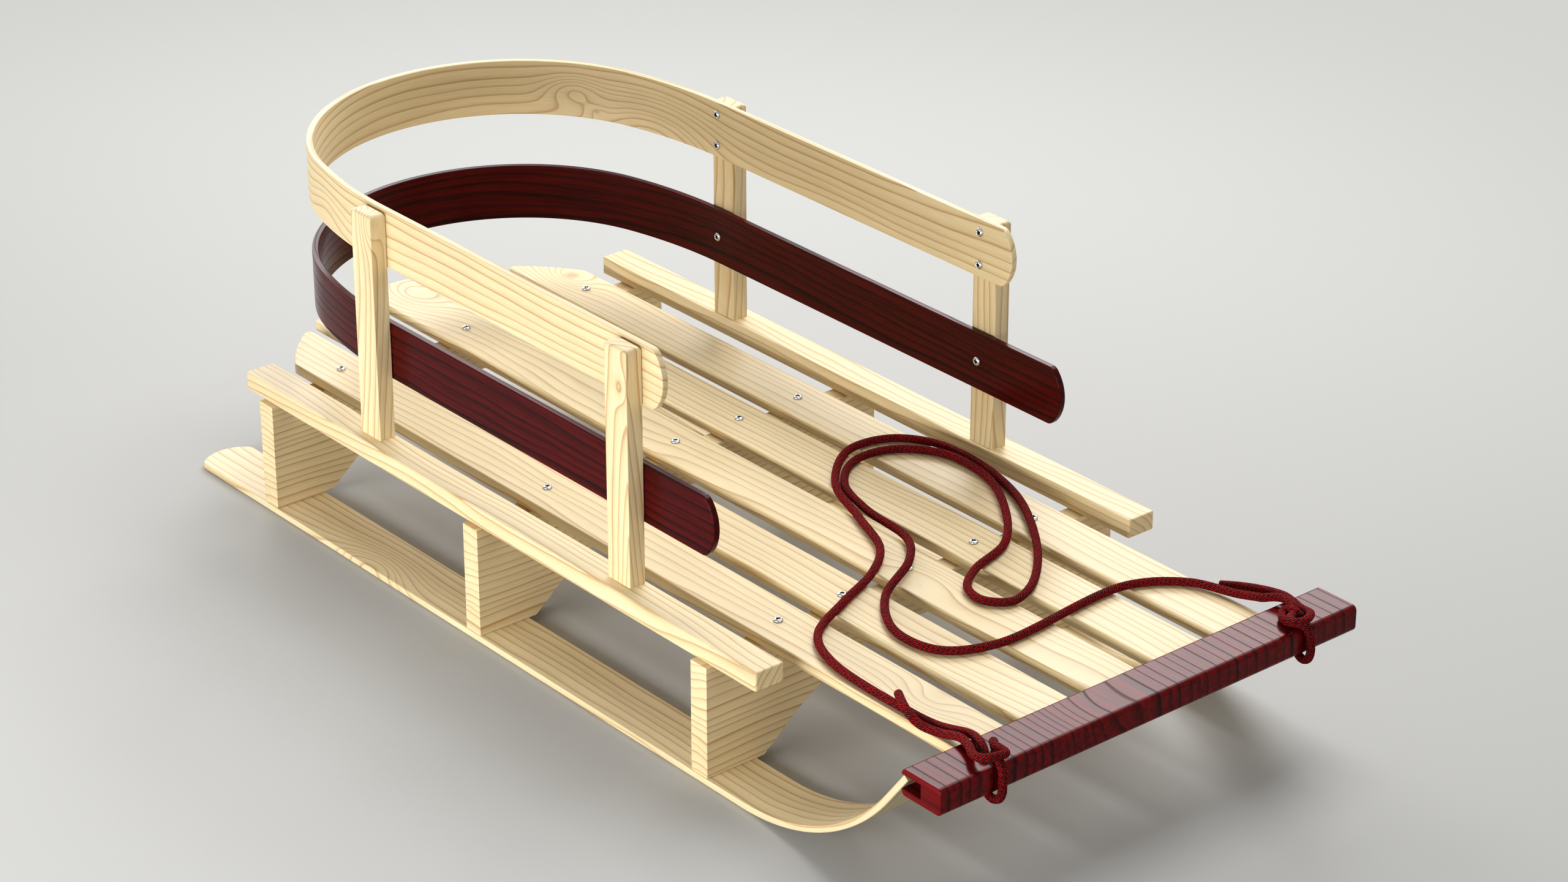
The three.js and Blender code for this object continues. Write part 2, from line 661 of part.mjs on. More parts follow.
// A knot's legs join at round elbows, and its first leg starts one fit away from the free stretch.
function knot(legs) {
  const routes = legs.map(vectors);
  const [start, next] = routes[0];
  start.lerp(next, fit / start.distanceTo(next));
  const stepsOf = (length) => Math.round(length / knotStep);
  const tubes = routes.map((points) => solidOf(ropeTube(points, stepsOf)));
  const elbows = routes.slice(1).map(([joint]) =>
    solidOf(new THREE.SphereGeometry(ropeRadius, ropeSides, ropeSides / 2).translate(...joint.toArray())));
  return geometryOf([...tubes, ...elbows].reduce((solid, other) => solid.add(other)));
}

function undercarriage() {
  const group = new THREE.Group();
  for (const [sideName, side] of Object.entries(sides)) {
    group.add(piece("runner_" + sideName, runner(), wood(), side * runnerX));
    for (const [placeName, y] of Object.entries(bolsterPlaces)) {
      const name = "runner_screw_" + sideName + "_" + placeName;
      group.add(piece(name, runnerScrew(runnerScrewRecess, 0), zincSteel(), side * runnerX, y));
    }
  }
  for (const [placeName, y] of Object.entries(bolsterPlaces)) {
    const pegged = placeName !== "middle";
    group.add(piece("bolster_" + placeName, bolster(pegged), wood(), 0, y, bolsterBottom));
  }
  return group;
}

function deck() {
  const group = new THREE.Group();
  group.add(piece("front_bar", frontBar(), redLacquer()));
  const screwTop = deckBottom + slatThickness + fit;
  const screwLength = fit + slatThickness + fit + beamDepth * deckScrewBiteShare;
  slatPlaces.forEach((x, i) => {
    const number = i + 1;
    group.add(piece("deck_slat_" + number, slat(x), wood(), x, 0, deckBottom));
    for (const [placeName, y] of Object.entries(bolsterPlaces)) {
      const name = "deck_screw_" + number + "_" + placeName;
      const screw = piece(name, domeScrew(screwLength), chrome(), x, y, screwTop);
      screw.quaternion.setFromUnitVectors(Y, Z);
      group.add(screw);
    }
  });
  for (const [sideName, side] of Object.entries(sides)) {
    group.add(piece("rail_" + sideName, rail(side), wood(), side * railX, 0, deckBottom));
    for (const placeName of ["front", "rear"]) {
      const name = "rail_dowel_" + sideName + "_" + placeName;
      group.add(piece(name, dowel(), wood(), side * railX, bolsterPlaces[placeName]));
    }
  }
  return group;
}

function back() {
  const group = new THREE.Group();
  const screwHeights = hoopScrewHeights();
  const heightsOf = (shares) => screwHeights.filter(([label]) => label in shares).map(([, z]) => z);
  const hoops = [
    ["upper_hoop", upperHoopReach, upperHoopBottom, upperScrewShares, wood()],
    ["lower_hoop", lowerHoopReach, lowerHoopBottom, lowerScrewShares, redLacquer()],
  ];
  for (const [name, reach, bottom, shares, material] of hoops) {
    const middleHeight = bottom + hoopHeight / 2;
    const heights = heightsOf(shares).map((z) => z - middleHeight);
    group.add(piece(name, hoop(reach, heights), material, 0, 0, middleHeight));
  }
  const screwLength = fit + hoopThickness + fit + postWidth * hoopScrewBiteShare;
  const headX = hoopHalfWidth - hoopThickness - fit;
  for (const [sideName, side] of Object.entries(sides)) {
    for (const [placeName, y] of Object.entries(postPlaces)) {
      const label = sideName + "_" + placeName;
      group.add(piece("post_" + label, post(side), wood(), side * postX, y, railTop + fit));
      for (const [height, z] of screwHeights) {
        const name = "hoop_screw_" + label + "_" + height;
        const screw = piece(name, domeScrew(screwLength), chrome(), side * headX, y, z);
        screw.quaternion.setFromUnitVectors(Y, new THREE.Vector3(-side, 0, 0));
        group.add(screw);
      }
    }
  }
  return group;
}

function rope() {
  const group = new THREE.Group();
  group.add(piece("tow_rope", ropeTube(vectors(towRoute), () => towSteps), cord()));
  group.add(piece("rope_knot_right", knot(rightKnotLegs), cord()));
  group.add(piece("rope_knot_left", knot(leftKnotLegs), cord()));
  return group;
}

const group = new THREE.Group();
group.add(undercarriage(), deck(), back(), rope());
export default group;
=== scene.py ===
# %% [markdown]
# # A wooden pull sledge, dressed in Blender
# The sledge stands on two bent runners. Three arched bolsters carry five deck slats and two side rails,
# and two bent hoops go round the back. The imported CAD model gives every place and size.
# This lesson lays finer pieces over it and gives each of them a finish that is painted by nodes.

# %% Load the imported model
import math

import bmesh
import bpy
from mathutils import Matrix, Vector


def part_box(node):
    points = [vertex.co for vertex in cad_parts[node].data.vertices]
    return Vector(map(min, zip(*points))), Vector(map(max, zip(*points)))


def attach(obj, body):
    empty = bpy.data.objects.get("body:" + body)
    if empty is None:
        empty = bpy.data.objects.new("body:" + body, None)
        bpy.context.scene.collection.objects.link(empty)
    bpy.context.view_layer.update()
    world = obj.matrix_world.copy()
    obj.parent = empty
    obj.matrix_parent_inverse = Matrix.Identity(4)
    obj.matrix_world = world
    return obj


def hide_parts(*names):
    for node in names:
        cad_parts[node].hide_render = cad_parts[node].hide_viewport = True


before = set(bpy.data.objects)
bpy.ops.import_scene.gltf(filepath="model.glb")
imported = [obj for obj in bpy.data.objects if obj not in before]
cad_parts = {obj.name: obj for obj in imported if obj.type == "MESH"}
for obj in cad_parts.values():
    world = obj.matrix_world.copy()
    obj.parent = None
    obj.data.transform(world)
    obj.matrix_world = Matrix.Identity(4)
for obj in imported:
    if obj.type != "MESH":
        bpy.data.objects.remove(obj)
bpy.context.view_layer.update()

# %% [markdown]
# ## The camera
# The photograph was taken from the front and the right, from well above the deck, with a long lens.
# A camera can be placed by eye, but here its place comes from points of the sledge that were found
# in the photograph and in the model, so that both pictures can be laid over each other.

# %% Place the camera
camera_data = bpy.data.cameras.new("photo_camera")
camera_data.sensor_width = 36
camera_data.lens = 92.33
camera = bpy.data.objects.new("photo_camera", camera_data)
camera.location = (-1.6694, -2.0585, 1.4246)
camera.rotation_euler = [math.radians(angle) for angle in (63.892, 0, -39.875)]
bpy.context.scene.collection.objects.link(camera)
bpy.context.scene.camera = camera
print("camera at", tuple(camera.location))

# %% [markdown]
# ## The tow rope's route
# The rope is one soft length of braid. It comes out of a knot at each end of the front bar and lies
# in loose loops on the deck. A Bezier curve drawn by hand would do, but a list of points that a smooth
# curve runs through is easier to check, and the same points shape the rope in the CAD model.

# %% List the rope's points, in millimetres
MILLIMETRE = 0.001

free_points = [
    (-133.7, -400, 108.8), (-135, -378, 104), (-136.9, -352, 103.7), (-132.8, -270, 103.7),
    (-115.5, -234.3, 103.7), (-71.5, -210, 103.7), (-29.7, -191, 103.7), (0, -166.3, 103.7),
    (19.8, -121, 103.7), (41.5, -69.3, 103.7), (87, -32, 103.7), (122, -37, 103.7),
    (142.3, -63, 103.7), (145.8, -104, 103.7), (136, -152.7, 103.7), (116.5, -193.5, 104.7),
    (76.8, -247.4, 103.7), (40, -277.8, 103.7), (17.5, -283.6, 103.7), (3.8, -268.8, 103.7),
    (8, -249.5, 103.7), (30, -232.8, 103.7), (73, -216.8, 103.7), (113, -173, 103.7),
    (135.4, -128, 103.7), (135.8, -81.5, 103.7), (110.5, -51.5, 103.7), (76.5, -49, 103.7),
    (46.5, -73.7, 103.7), (32.3, -114, 103.7), (25.4, -165.5, 103.7), (-0.2, -197.3, 106.6),
    (-45, -223.2, 103.7), (-72.2, -266, 103.7), (-66.5, -303, 103.7), (-32, -321.6, 103.7),
    (96, -318, 103.7), (131.5, -342, 103.7), (142.9, -378.3, 105.6), (145.6, -394.6, 108.9),
]
right_loop = [
    (-133.7, -400, 108.8), (-133.5, -403.9, 109.7), (-134.1, -411, 111), (-136.7, -419.1, 112.2),
    (-139.7, -426.2, 112), (-143.4, -433.2, 108), (-144, -434, 102), (-144, -434, 92),
    (-144, -434.1, 87.5), (-143.8, -436.5, 82.9), (-143.4, -441.3, 80.9), (-142.8, -446.4, 83.2),
    (-142.4, -448.6, 88.3), (-142.3, -448.6, 96), (-142.4, -448.5, 103), (-142, -446.3, 107.9),
    (-139.8, -441, 110.2), (-135.5, -434.5, 110.2), (-131.5, -428.6, 110.5), (-129.9, -426.2, 111.5),
]
right_hitch = [
    (-129.9, -426.2, 111.5), (-132.2, -428.2, 113.3), (-135.2, -433.5, 113.9), (-135.5, -438.7, 114),
    (-136.8, -445, 114.2), (-144.8, -446.5, 115.6), (-151.5, -443.9, 115.4), (-153.8, -437.9, 114),
    (-151.7, -429.4, 112.5), (-146.9, -422.2, 111.7), (-142.8, -412.5, 110.9), (-141.4, -405.5, 110),
    (-140.8, -390.2, 105.3), (-142.4, -380.2, 104.2), (-144.5, -370.4, 105.2), (-145.1, -362.6, 108.2),
    (-143.3, -355.1, 110.4), (-139, -346.5, 110.6), (-134.4, -338.3, 110.4),
]
left_loop = [
    (145.6, -394.6, 108.9), (146.2, -398.5, 109.7), (150.6, -405.5, 111.6), (152.8, -412.1, 112.6),
    (151, -420.1, 113.2), (148.3, -427.3, 112.6), (144.1, -433.2, 108), (144, -434, 102),
    (144, -434, 92), (144, -434.1, 87.5), (143.8, -436.5, 82.9), (143.3, -441.3, 80.9),
    (142.9, -446.4, 83.2), (142.8, -448.6, 88.3), (142.6, -448.6, 97), (141, -448.4, 103.5),
    (139.8, -446.3, 108.4), (137, -441, 110.5),
]
left_hitch = [
    (137, -441, 110.5), (133.6, -435.5, 110.4), (134.4, -429.5, 110.4), (137.6, -425.4, 110.5),
    (140.6, -423.2, 111.3), (143.4, -424.6, 112.6), (144.3, -428.2, 113.4), (144.1, -432.4, 113.4),
    (145.1, -435.6, 111.5),
]
left_tail = [
    (146.4, -431.6, 110.8), (140, -432.9, 112.4), (132.8, -437.4, 114.4), (129.3, -442.3, 115.6),
    (130.1, -446.6, 116.2), (135.4, -447.9, 116), (143.6, -445, 115), (149.6, -440.3, 113.8),
    (152.7, -433.5, 111.8), (154.6, -426, 110.6), (157.5, -417, 110.4), (160, -406.5, 109.7),
    (160.6, -396.2, 108), (159.7, -385.5, 106.2), (157.3, -376.1, 104.8), (153, -365.6, 103.4),
    (147.8, -357.1, 102.4),
]
print(len(free_points), "points on the deck,", len(right_loop + right_hitch), "in the right knot")

# %% [markdown]
# A smooth curve through points can be a NURBS, which cuts its corners, or a Catmull-Rom curve, which
# goes through every point. The centripetal kind is used, because it makes no small loops where points
# lie close together. It is then walked in even steps, so that the braid is even too.


# %% Run a smooth curve through points
def catmull_rom(before, start, end, after, share):
    """One point of the stretch from start to end, on a centripetal Catmull-Rom curve."""
    gaps = [(b - a).length ** 0.5 for a, b in ((before, start), (start, end), (end, after))]
    leave = (start - before) / gaps[0] - (end - before) / (gaps[0] + gaps[1]) + (end - start) / gaps[1]
    arrive = (end - start) / gaps[1] - (after - start) / (gaps[1] + gaps[2]) + (after - end) / gaps[2]
    leave, arrive = leave * gaps[1], arrive * gaps[1]
    square = -3 * start + 3 * end - 2 * leave - arrive
    cube = 2 * start - 2 * end + leave + arrive
    return start + leave * share + square * share**2 + cube * share**3


def walk(points, pace):
    """Points in even steps along the smooth curve through the points, all in metres."""
    knots = [2 * points[0] - points[1], *points, 2 * points[-1] - points[-2]]
    looks = 24
    fine = []
    for i in range(len(points) - 1):
        fine += [catmull_rom(*knots[i:i + 4], look / looks) for look in range(looks)]
    fine.append(points[-1])
    travelled = [0.0]
    for a, b in zip(fine, fine[1:]):
        travelled.append(travelled[-1] + (b - a).length)
    count = round(travelled[-1] / pace)
    steps, i = [], 0
    for k in range(count + 1):
        goal = travelled[-1] * k / count
        while i < len(fine) - 2 and travelled[i + 1] < goal:
            i += 1
        share = (goal - travelled[i]) / (travelled[i + 1] - travelled[i])
        steps.append(fine[i].lerp(fine[i + 1], share))
    return steps


def in_metres(points):
    return [Vector(point) * MILLIMETRE for point in points]


ROPE_PACE = 0.8 * MILLIMETRE
main_run = walk(in_metres(right_loop[::-1] + free_points[1:-1] + left_loop), ROPE_PACE)
print("rope walked in", len(main_run), "steps")

# %% [markdown]
# ## The braid
# The rope is a round plait: strands run round it both ways and go over and under each other. Here the
# strands of one way lie over four of the others and under one, which leaves slanting ridges. A picture
# laid on a smooth tube would look flat at the rope's outline, so the ridges are pushed out of the
# tube's own mesh. Each face also keeps its place in the braid, round the rope and along it, in a UV
# map, so that the colours can follow the same strands.

# %% Shape a length of braid
ROPE_RADIUS = 3.1 * MILLIMETRE
ROPE_SIDES = 30
STRANDS = 10
STRANDS_PER_REPEAT = 5
BRAID_PITCH = 2.0 * MILLIMETRE
BRAID_RELIEF = 0.3 * MILLIMETRE
STRAND_BLUNTNESS = 0.7

# The angles of the rings that close a domed end and a flat one, in degrees
DOMED_END, FLAT_END = (25, 50, 72, 88), (60, 88)


def braid_height(around, along):
    """How high the braid stands, from 0 in its creases to 1 on a strand's crown."""
    one, other = STRANDS * around + along / BRAID_PITCH, STRANDS * around - along / BRAID_PITCH
    other_on_top = (math.floor(one) + 2 * math.floor(other)) % STRANDS_PER_REPEAT == 0
    return abs(math.sin(math.pi * (other if other_on_top else one))) ** STRAND_BLUNTNESS


def crosses_along(steps):
    """The two cross directions at each step, turned along the rope without twisting it."""
    ways = [(b - a).normalized() for a, b in zip(steps, steps[1:])]
    ways = [ways[0]] + [(a + b).normalized() for a, b in zip(ways, ways[1:])] + [ways[-1]]
    side = ways[0].orthogonal().normalized()
    crosses = []
    for before, way in zip([ways[0], *ways], ways):
        side = before.rotation_difference(way) @ side
        side = (side - way * side.dot(way)).normalized()
        crosses.append((side, way.cross(side)))
    return crosses


def braid_tube(bm, steps, crosses, start, domes):
    """Adds a closed tube of braid. Each end is cut flat, or domed by its share of the radius."""
    layer = bm.loops.layers.uv["braid"]
    tube, places = [], []
    ways = [(steps[1] - steps[0]).normalized(), (steps[-1] - steps[-2]).normalized()]
    rows = [(step, cross, start + i * ROPE_PACE, 1.0) for i, (step, cross) in enumerate(zip(steps, crosses))]
    caps = []
    for end, (way, dome) in enumerate(zip(ways, domes)):
        outwards = -way if end == 0 else way
        row = rows[-1 if end else 0]
        cap = []
        for angle in DOMED_END if dome else FLAT_END:
            turn = math.radians(angle)
            lift = outwards * ROPE_RADIUS * dome * math.sin(turn)
            cap.append((row[0] + lift, row[1], row[2], math.cos(turn)))
        caps.append(cap)
    rows = caps[0][::-1] + rows + caps[1]
    for centre, (side, up), along, shrink in rows:
        ring = []
        for k in range(ROPE_SIDES):
            around = k / ROPE_SIDES
            angle = 2 * math.pi * around
            crease = (1 - braid_height(around, along)) * BRAID_RELIEF
            reach = (ROPE_RADIUS - crease) * shrink
            ring.append(bm.verts.new(centre + (side * math.cos(angle) + up * math.sin(angle)) * reach))
        tube.append(ring)
        places.append(along)
    for (ring, after), (near, far) in zip(zip(tube, tube[1:]), zip(places, places[1:])):
        for k in range(ROPE_SIDES):
            following = (k + 1) % ROPE_SIDES
            face = bm.faces.new((ring[k], ring[following], after[following], after[k]))
            uvs = ((k, near), (k + 1, near), (k + 1, far), (k, far))
            for loop, (corner, along) in zip(face.loops, uvs):
                loop[layer].uv = (corner / ROPE_SIDES, along / BRAID_PITCH)
    for ring in (tube[0][::-1], tube[-1]):
        face = bm.faces.new(ring)
        for loop in face.loops:
            loop[layer].uv = (0.5, places[0] / BRAID_PITCH)


def add_object(name, bm):
    """Turns a bmesh into an object of the scene."""
    mesh = bpy.data.meshes.new(name)
    bm.to_mesh(mesh)
    bm.free()
    made = bpy.data.objects.new(name, mesh)
    bpy.context.scene.collection.objects.link(made)
    return made


def finished(node, kind, bm, finish):
    """A smooth piece that rides on the sledge and stands for its CAD node. Its kind ends its name."""
    bmesh.ops.recalc_face_normals(bm, faces=bm.faces)
    piece = add_object(f"{node}_{kind}", bm)
    piece.data.shade_smooth()
    piece.data.materials.append(finish)
    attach(piece, "root")
    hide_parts(node)
    return piece


print("braid of", 2 * STRANDS, "strands, raised by", round(BRAID_RELIEF / MILLIMETRE, 2), "mm")

# %% [markdown]
# ## Painting with nodes
# Every finish below is a small tree of shader nodes. Nodes can be wired by hand in the Shader Editor.
# In a script a short helper that adds one node and fills its inputs keeps each recipe readable.


# %% Helpers for node trees
def fill(tree, node, inputs):
    """Fills a node's inputs, given as (socket, value or linked output) pairs."""
    for name, value in inputs:
        if isinstance(value, bpy.types.NodeSocket):
            tree.links.new(value, node.inputs[name])
        else:
            node.inputs[name].default_value = value


def add(tree, kind, inputs=(), **settings):
    """Adds a shader node, sets it and fills its inputs."""
    made = tree.nodes.new("ShaderNode" + kind)
    for name, value in settings.items():
        setattr(made, name, value)
    fill(tree, made, inputs)
    return made


def work_out(tree, operation, *values):
    """One sum of the Math node."""
    return add(tree, "Math", enumerate(values), operation=operation).outputs[0]


def length_of(tree, vector):
    return add(tree, "VectorMath", ((0, vector),), operation="LENGTH").outputs["Value"]


def own_place(tree):
    """The place of a point in its own object."""
    return add(tree, "TexCoord").outputs["Object"]


def stretch(tree, place, scales):
    """Scales a place along its three axes, so that a pattern is drawn out."""
    return add(tree, "VectorMath", ((0, place), (1, scales)), operation="MULTIPLY").outputs[0]


def noise(tree, place, scale, detail, roughness=0.5):
    inputs = (("Vector", place), ("Scale", scale), ("Detail", detail), ("Roughness", roughness))
    return add(tree, "TexNoise", inputs).outputs[0]


def paint(colour):
    """The light that Blender reckons with, for a screen's hex code, one number of a grey or three numbers."""
    if isinstance(colour, str):
        shares = [int(colour[i:i + 2], 16) / 255 for i in (0, 2, 4)]
        colour = [s / 12.92 if s <= 0.04045 else ((s + 0.055) / 1.055) ** 2.4 for s in shares]
    elif isinstance(colour, (int, float)):
        colour = [colour] * 3
    return (*colour, 1.0)


def ramp(tree, factor, stops):
    """A colour ramp through (place, paint) stops."""
    made = add(tree, "ValToRGB", (("Fac", factor),))
    elements = made.color_ramp.elements
    while len(elements) < len(stops):
        elements.new(0.5)
    for element, (place, colour) in zip(elements, stops):
        element.position = place
        element.color = paint(colour)
    return made.outputs[0]


def blend(tree, factor, first, second, blend_type="MIX"):
    """Mixes two colours, each a linked output or a paint."""
    sides = [side if isinstance(side, bpy.types.NodeSocket) else paint(side) for side in (first, second)]
    inputs = (("Factor", factor), (6, sides[0]), (7, sides[1]))
    return add(tree, "Mix", inputs, data_type="RGBA", blend_type=blend_type).outputs[2]


def tinted(tree, colour, *tones):
    """Multiplies a colour by one tone after the other."""
    for tone in tones:
        colour = blend(tree, 1.0, colour, tone, "MULTIPLY")
    return colour


def raised(tree, height, distance, strength=1.0):
    """Lets a height pattern catch the light as small relief, by a distance in metres."""
    inputs = (("Height", height), ("Distance", distance), ("Strength", strength))
    return add(tree, "Bump", inputs).outputs[0]


def new_finish(name):
    """A new material, with its node tree and its surface shader."""
    material = bpy.data.materials.new(name)
    material.use_nodes = True
    tree = material.node_tree
    return material, tree, tree.nodes["Principled BSDF"]


print("helpers ready")

# %% [markdown]
# ## The braid's colours
# Every strand is a red yarn and a dark yarn side by side, and every crease between strands is painted
# near-black as shade. One way is to scatter dark specks over the rope, but real flecks follow the strands. So
# the nodes work out which strand is on top from the UV map, as the mesh did, and how far across that strand a
# point lies. The strands that pass under four others show only as short dark nicks.

# %% Paint the red braid
red_cord, tree, shader = new_finish("red_cord")
braid_uv = add(tree, "UVMap", uv_map="braid").outputs[0]
uv_parts = add(tree, "SeparateXYZ", (("Vector", braid_uv),))
around = work_out(tree, "MULTIPLY", uv_parts.outputs[0], STRANDS)
one_way = work_out(tree, "ADD", around, uv_parts.outputs[1])
other_way = work_out(tree, "SUBTRACT", around, uv_parts.outputs[1])
one_index = work_out(tree, "FLOOR", one_way)
other_index = work_out(tree, "FLOOR", other_way)
crossing = work_out(tree, "MULTIPLY_ADD", other_index, 2.0, one_index)
turn = work_out(tree, "FLOORED_MODULO", crossing, STRANDS_PER_REPEAT)
other_on_top = work_out(tree, "LESS_THAN", turn, 0.5)
lead = work_out(tree, "SUBTRACT", other_way, one_way)
on_top = work_out(tree, "MULTIPLY_ADD", lead, other_on_top, one_way)
across_strand = work_out(tree, "FRACT", on_top)
crown = work_out(tree, "SINE", work_out(tree, "MULTIPLY", across_strand, math.pi))
# The near-black stops at both edges of a strand are painted shade in the creases between strands
yarn_and_crease_shade = ramp(tree, across_strand, (
    (0.04, "0e0202"), (0.12, "960f13"), (0.3, "b8151a"), (0.48, "960f13"),
    (0.56, "1c0a0a"), (0.74, "2a1213"), (0.88, "180808"), (0.98, "080101"),
))
yarn_and_crease_shade = blend(tree, work_out(tree, "MULTIPLY", other_on_top, 0.7), yarn_and_crease_shade, "1c0a0a")
diamond = add(tree, "CombineXYZ", (("X", one_index), ("Y", other_index)))
lot = add(tree, "TexWhiteNoise", (("Vector", diamond.outputs[0]),)).outputs[0]
lot_tone = ramp(tree, lot, ((0.0, (0.62, 0.6, 0.6)), (1.0, 1.2)))
fibre = noise(tree, stretch(tree, braid_uv, (60.0, 9.0, 1.0)), 1.0, 1.0)
fibre_tone = ramp(tree, fibre, ((0.3, 0.78), (0.7, 1.1)))
relief = work_out(tree, "MULTIPLY_ADD", fibre, 0.2, crown)
fill(tree, shader, (
    ("Base Color", tinted(tree, yarn_and_crease_shade, lot_tone, fibre_tone)),
    ("Roughness", 0.85),
    ("Specular IOR Level", 0.08),
    ("Normal", raised(tree, relief, 0.25 * MILLIMETRE, 0.7)),
))
print("red cord painted with", len(tree.nodes), "nodes")

# %% [markdown]
# ## Rope and knots
# The braid from one hole, over the deck to the other hole is one run. It is cut into three pieces here,
# the free stretch and a knot at each end, because the library keeps a knot apart from the cord it ends.
# One walk through all three keeps the braid unbroken. The hitches and tails are further tubes, and
# where one leg meets the next, both have a domed end in the same place, which makes a round elbow.


# %% Cut the run and make the three pieces
def nearest_step(point):
    goal = Vector(point) * MILLIMETRE
    return min(range(len(main_run)), key=lambda i: (main_run[i] - goal).length)


main_crosses = crosses_along(main_run)
first_cut, last_cut = nearest_step(free_points[0]), nearest_step(free_points[-1])


def rope_piece(node, first, last, domes, legs=()):
    """A stretch of the main run and further legs. Each has a pair that says how far its ends are domed."""
    bm = bmesh.new()
    bm.loops.layers.uv.new("braid")
    steps, crosses = main_run[first:last + 1], main_crosses[first:last + 1]
    braid_tube(bm, steps, crosses, first * ROPE_PACE, domes)
    for points, leg_domes in legs:
        steps = walk(in_metres(points), ROPE_PACE)
        braid_tube(bm, steps, crosses_along(steps), 0.0, leg_domes)
    return finished(node, "braid", bm, red_cord)


TAIL_DOME = 0.35
right_knot = rope_piece("rope_knot_right", 0, first_cut, (1, 0), [(right_hitch, (1, TAIL_DOME))])
left_legs = [(left_hitch, (1, 1)), (left_tail, (1, TAIL_DOME))]
left_knot = rope_piece("rope_knot_left", last_cut, len(main_run) - 1, (0, 1), left_legs)
free_rope = rope_piece("tow_rope", first_cut, last_cut, (0, 0))

# %% [markdown]
# ## Growth rings
# A board shows growth rings because it was cut from a round log: straight lines where the saw went
# through the rings, and pointed arches where it ran along them. A wood picture can't turn the corner
# from a board's face to its end. So each point of a board is given its place in its log, as
# (across, deep, along), and the nodes grow the rings round the pith there. Knots push the rings aside.

# %% Give each board its place in a log
GRAIN = {"lengthwise": (0, 2, 1), "sideways": (1, 2, 0), "upright": (1, 0, 2), "crosswise": (2, 0, 1)}

# Each board: its grain, the pith's offset (across, deep) from its middle in millimetres, the pith's lean,
# how much wider than usual its rings are, and how far up the log it starts, in metres
LOGS = {
    "deck_slat_1": ("lengthwise", (60, 34), 0.014, 1.25, 0.3),
    "deck_slat_2": ("lengthwise", (-66, 36), -0.018, 1.15, 1.4),
    "deck_slat_3": ("lengthwise", (40, 42), 0.02, 1.1, 2.3),
    "deck_slat_4": ("lengthwise", (-58, 30), 0.012, 1.2, 3.6),
    "deck_slat_5": ("lengthwise", (72, 38), -0.016, 1.25, 4.4),
    "rail_left": ("lengthwise", (70, 52), 0.01, 1.05, 5.1),
    "rail_right": ("lengthwise", (-66, 58), 0.008, 1.05, 6.2),
    "post_left_front": ("upright", (34, 30), 0.04, 1.05, 7.0),
    "post_left_rear": ("upright", (-30, 34), -0.05, 1.05, 7.9),
    "post_right_front": ("upright", (24, 36), 0.06, 1.05, 8.8),
    "post_right_rear": ("upright", (-26, 38), -0.05, 1.05, 9.7),
    "bolster_front": ("sideways", (12, 150), 0.02, 1.25, 10.6),
    "bolster_middle": ("sideways", (-8, 165), -0.015, 1.25, 11.7),
    "bolster_rear": ("sideways", (5, 140), 0.02, 1.25, 12.8),
    "runner_left": ("bent", (58, 30), 0.012, 1.3, 14.0),
    "runner_right": ("bent", (-50, 34), 0.012, 1.3, 15.3),
    "upper_hoop": ("bent", (-60, 34), 0.006, 1.5, 16.5),
    "lower_hoop": ("bent", (58, 40), 0.006, 1.3, 18.0),
    "front_bar": ("crosswise", (6, 340), 0.0, 2.0, 20.0),
}


def place_in_log(node, across, deep, along):
    """The place in the log of a point that lies so far from the board's middle, all in metres."""
    _, pith, lean, wide, start = LOGS[node]
    across += pith[0] * MILLIMETRE
    deep += pith[1] * MILLIMETRE + lean * along
    return Vector((across / wide, deep / wide, along / wide + start))


def spot_in_log(node, spot):
    """The place in the log of a point of the sledge, for a board that wasn't bent."""
    low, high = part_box(node)
    off = [spot[axis] - (low[axis] + high[axis]) / 2 for axis in range(3)]
    return place_in_log(node, *(off[axis] for axis in GRAIN[LOGS[node][0]]))


print(len(LOGS), "boards placed in their logs")

# %% Grow the rings
RING_WIDTH = 4.7 * MILLIMETRE

# How the rings waver: the noise's scale, how it is drawn out along the log, and its share of the wander
WAVERS = ((15.0, 0.22, 2), (34.0, 0.3, 0.32), (90.0, 0.25, 0.12))


def log_place(tree):
    """Where this point of the surface was in the log, as its mesh tells."""
    return add(tree, "Attribute", attribute_name="log").outputs["Vector"]


def grain(tree, place, drawn_out, scale, detail, roughness=0.5):
    """Noise that is drawn out along the log."""
    return noise(tree, stretch(tree, place, (1.0, 1.0, drawn_out)), scale, detail, roughness)


def push_rings(tree, place, radius, centre, size, push):
    """Bends the rings round a knot or a bump in the trunk, and gives how far away it is."""
    away = add(tree, "VectorMath", ((0, place), (1, centre)), operation="SUBTRACT").outputs[0]
    reach = work_out(tree, "DIVIDE", length_of(tree, stretch(tree, away, (1.0, 1.0, 0.55))), size)
    squared = work_out(tree, "MULTIPLY", reach, reach)
    swell = work_out(tree, "EXPONENT", work_out(tree, "MULTIPLY", squared, -1.0))
    return work_out(tree, "MULTIPLY_ADD", swell, push, radius), reach


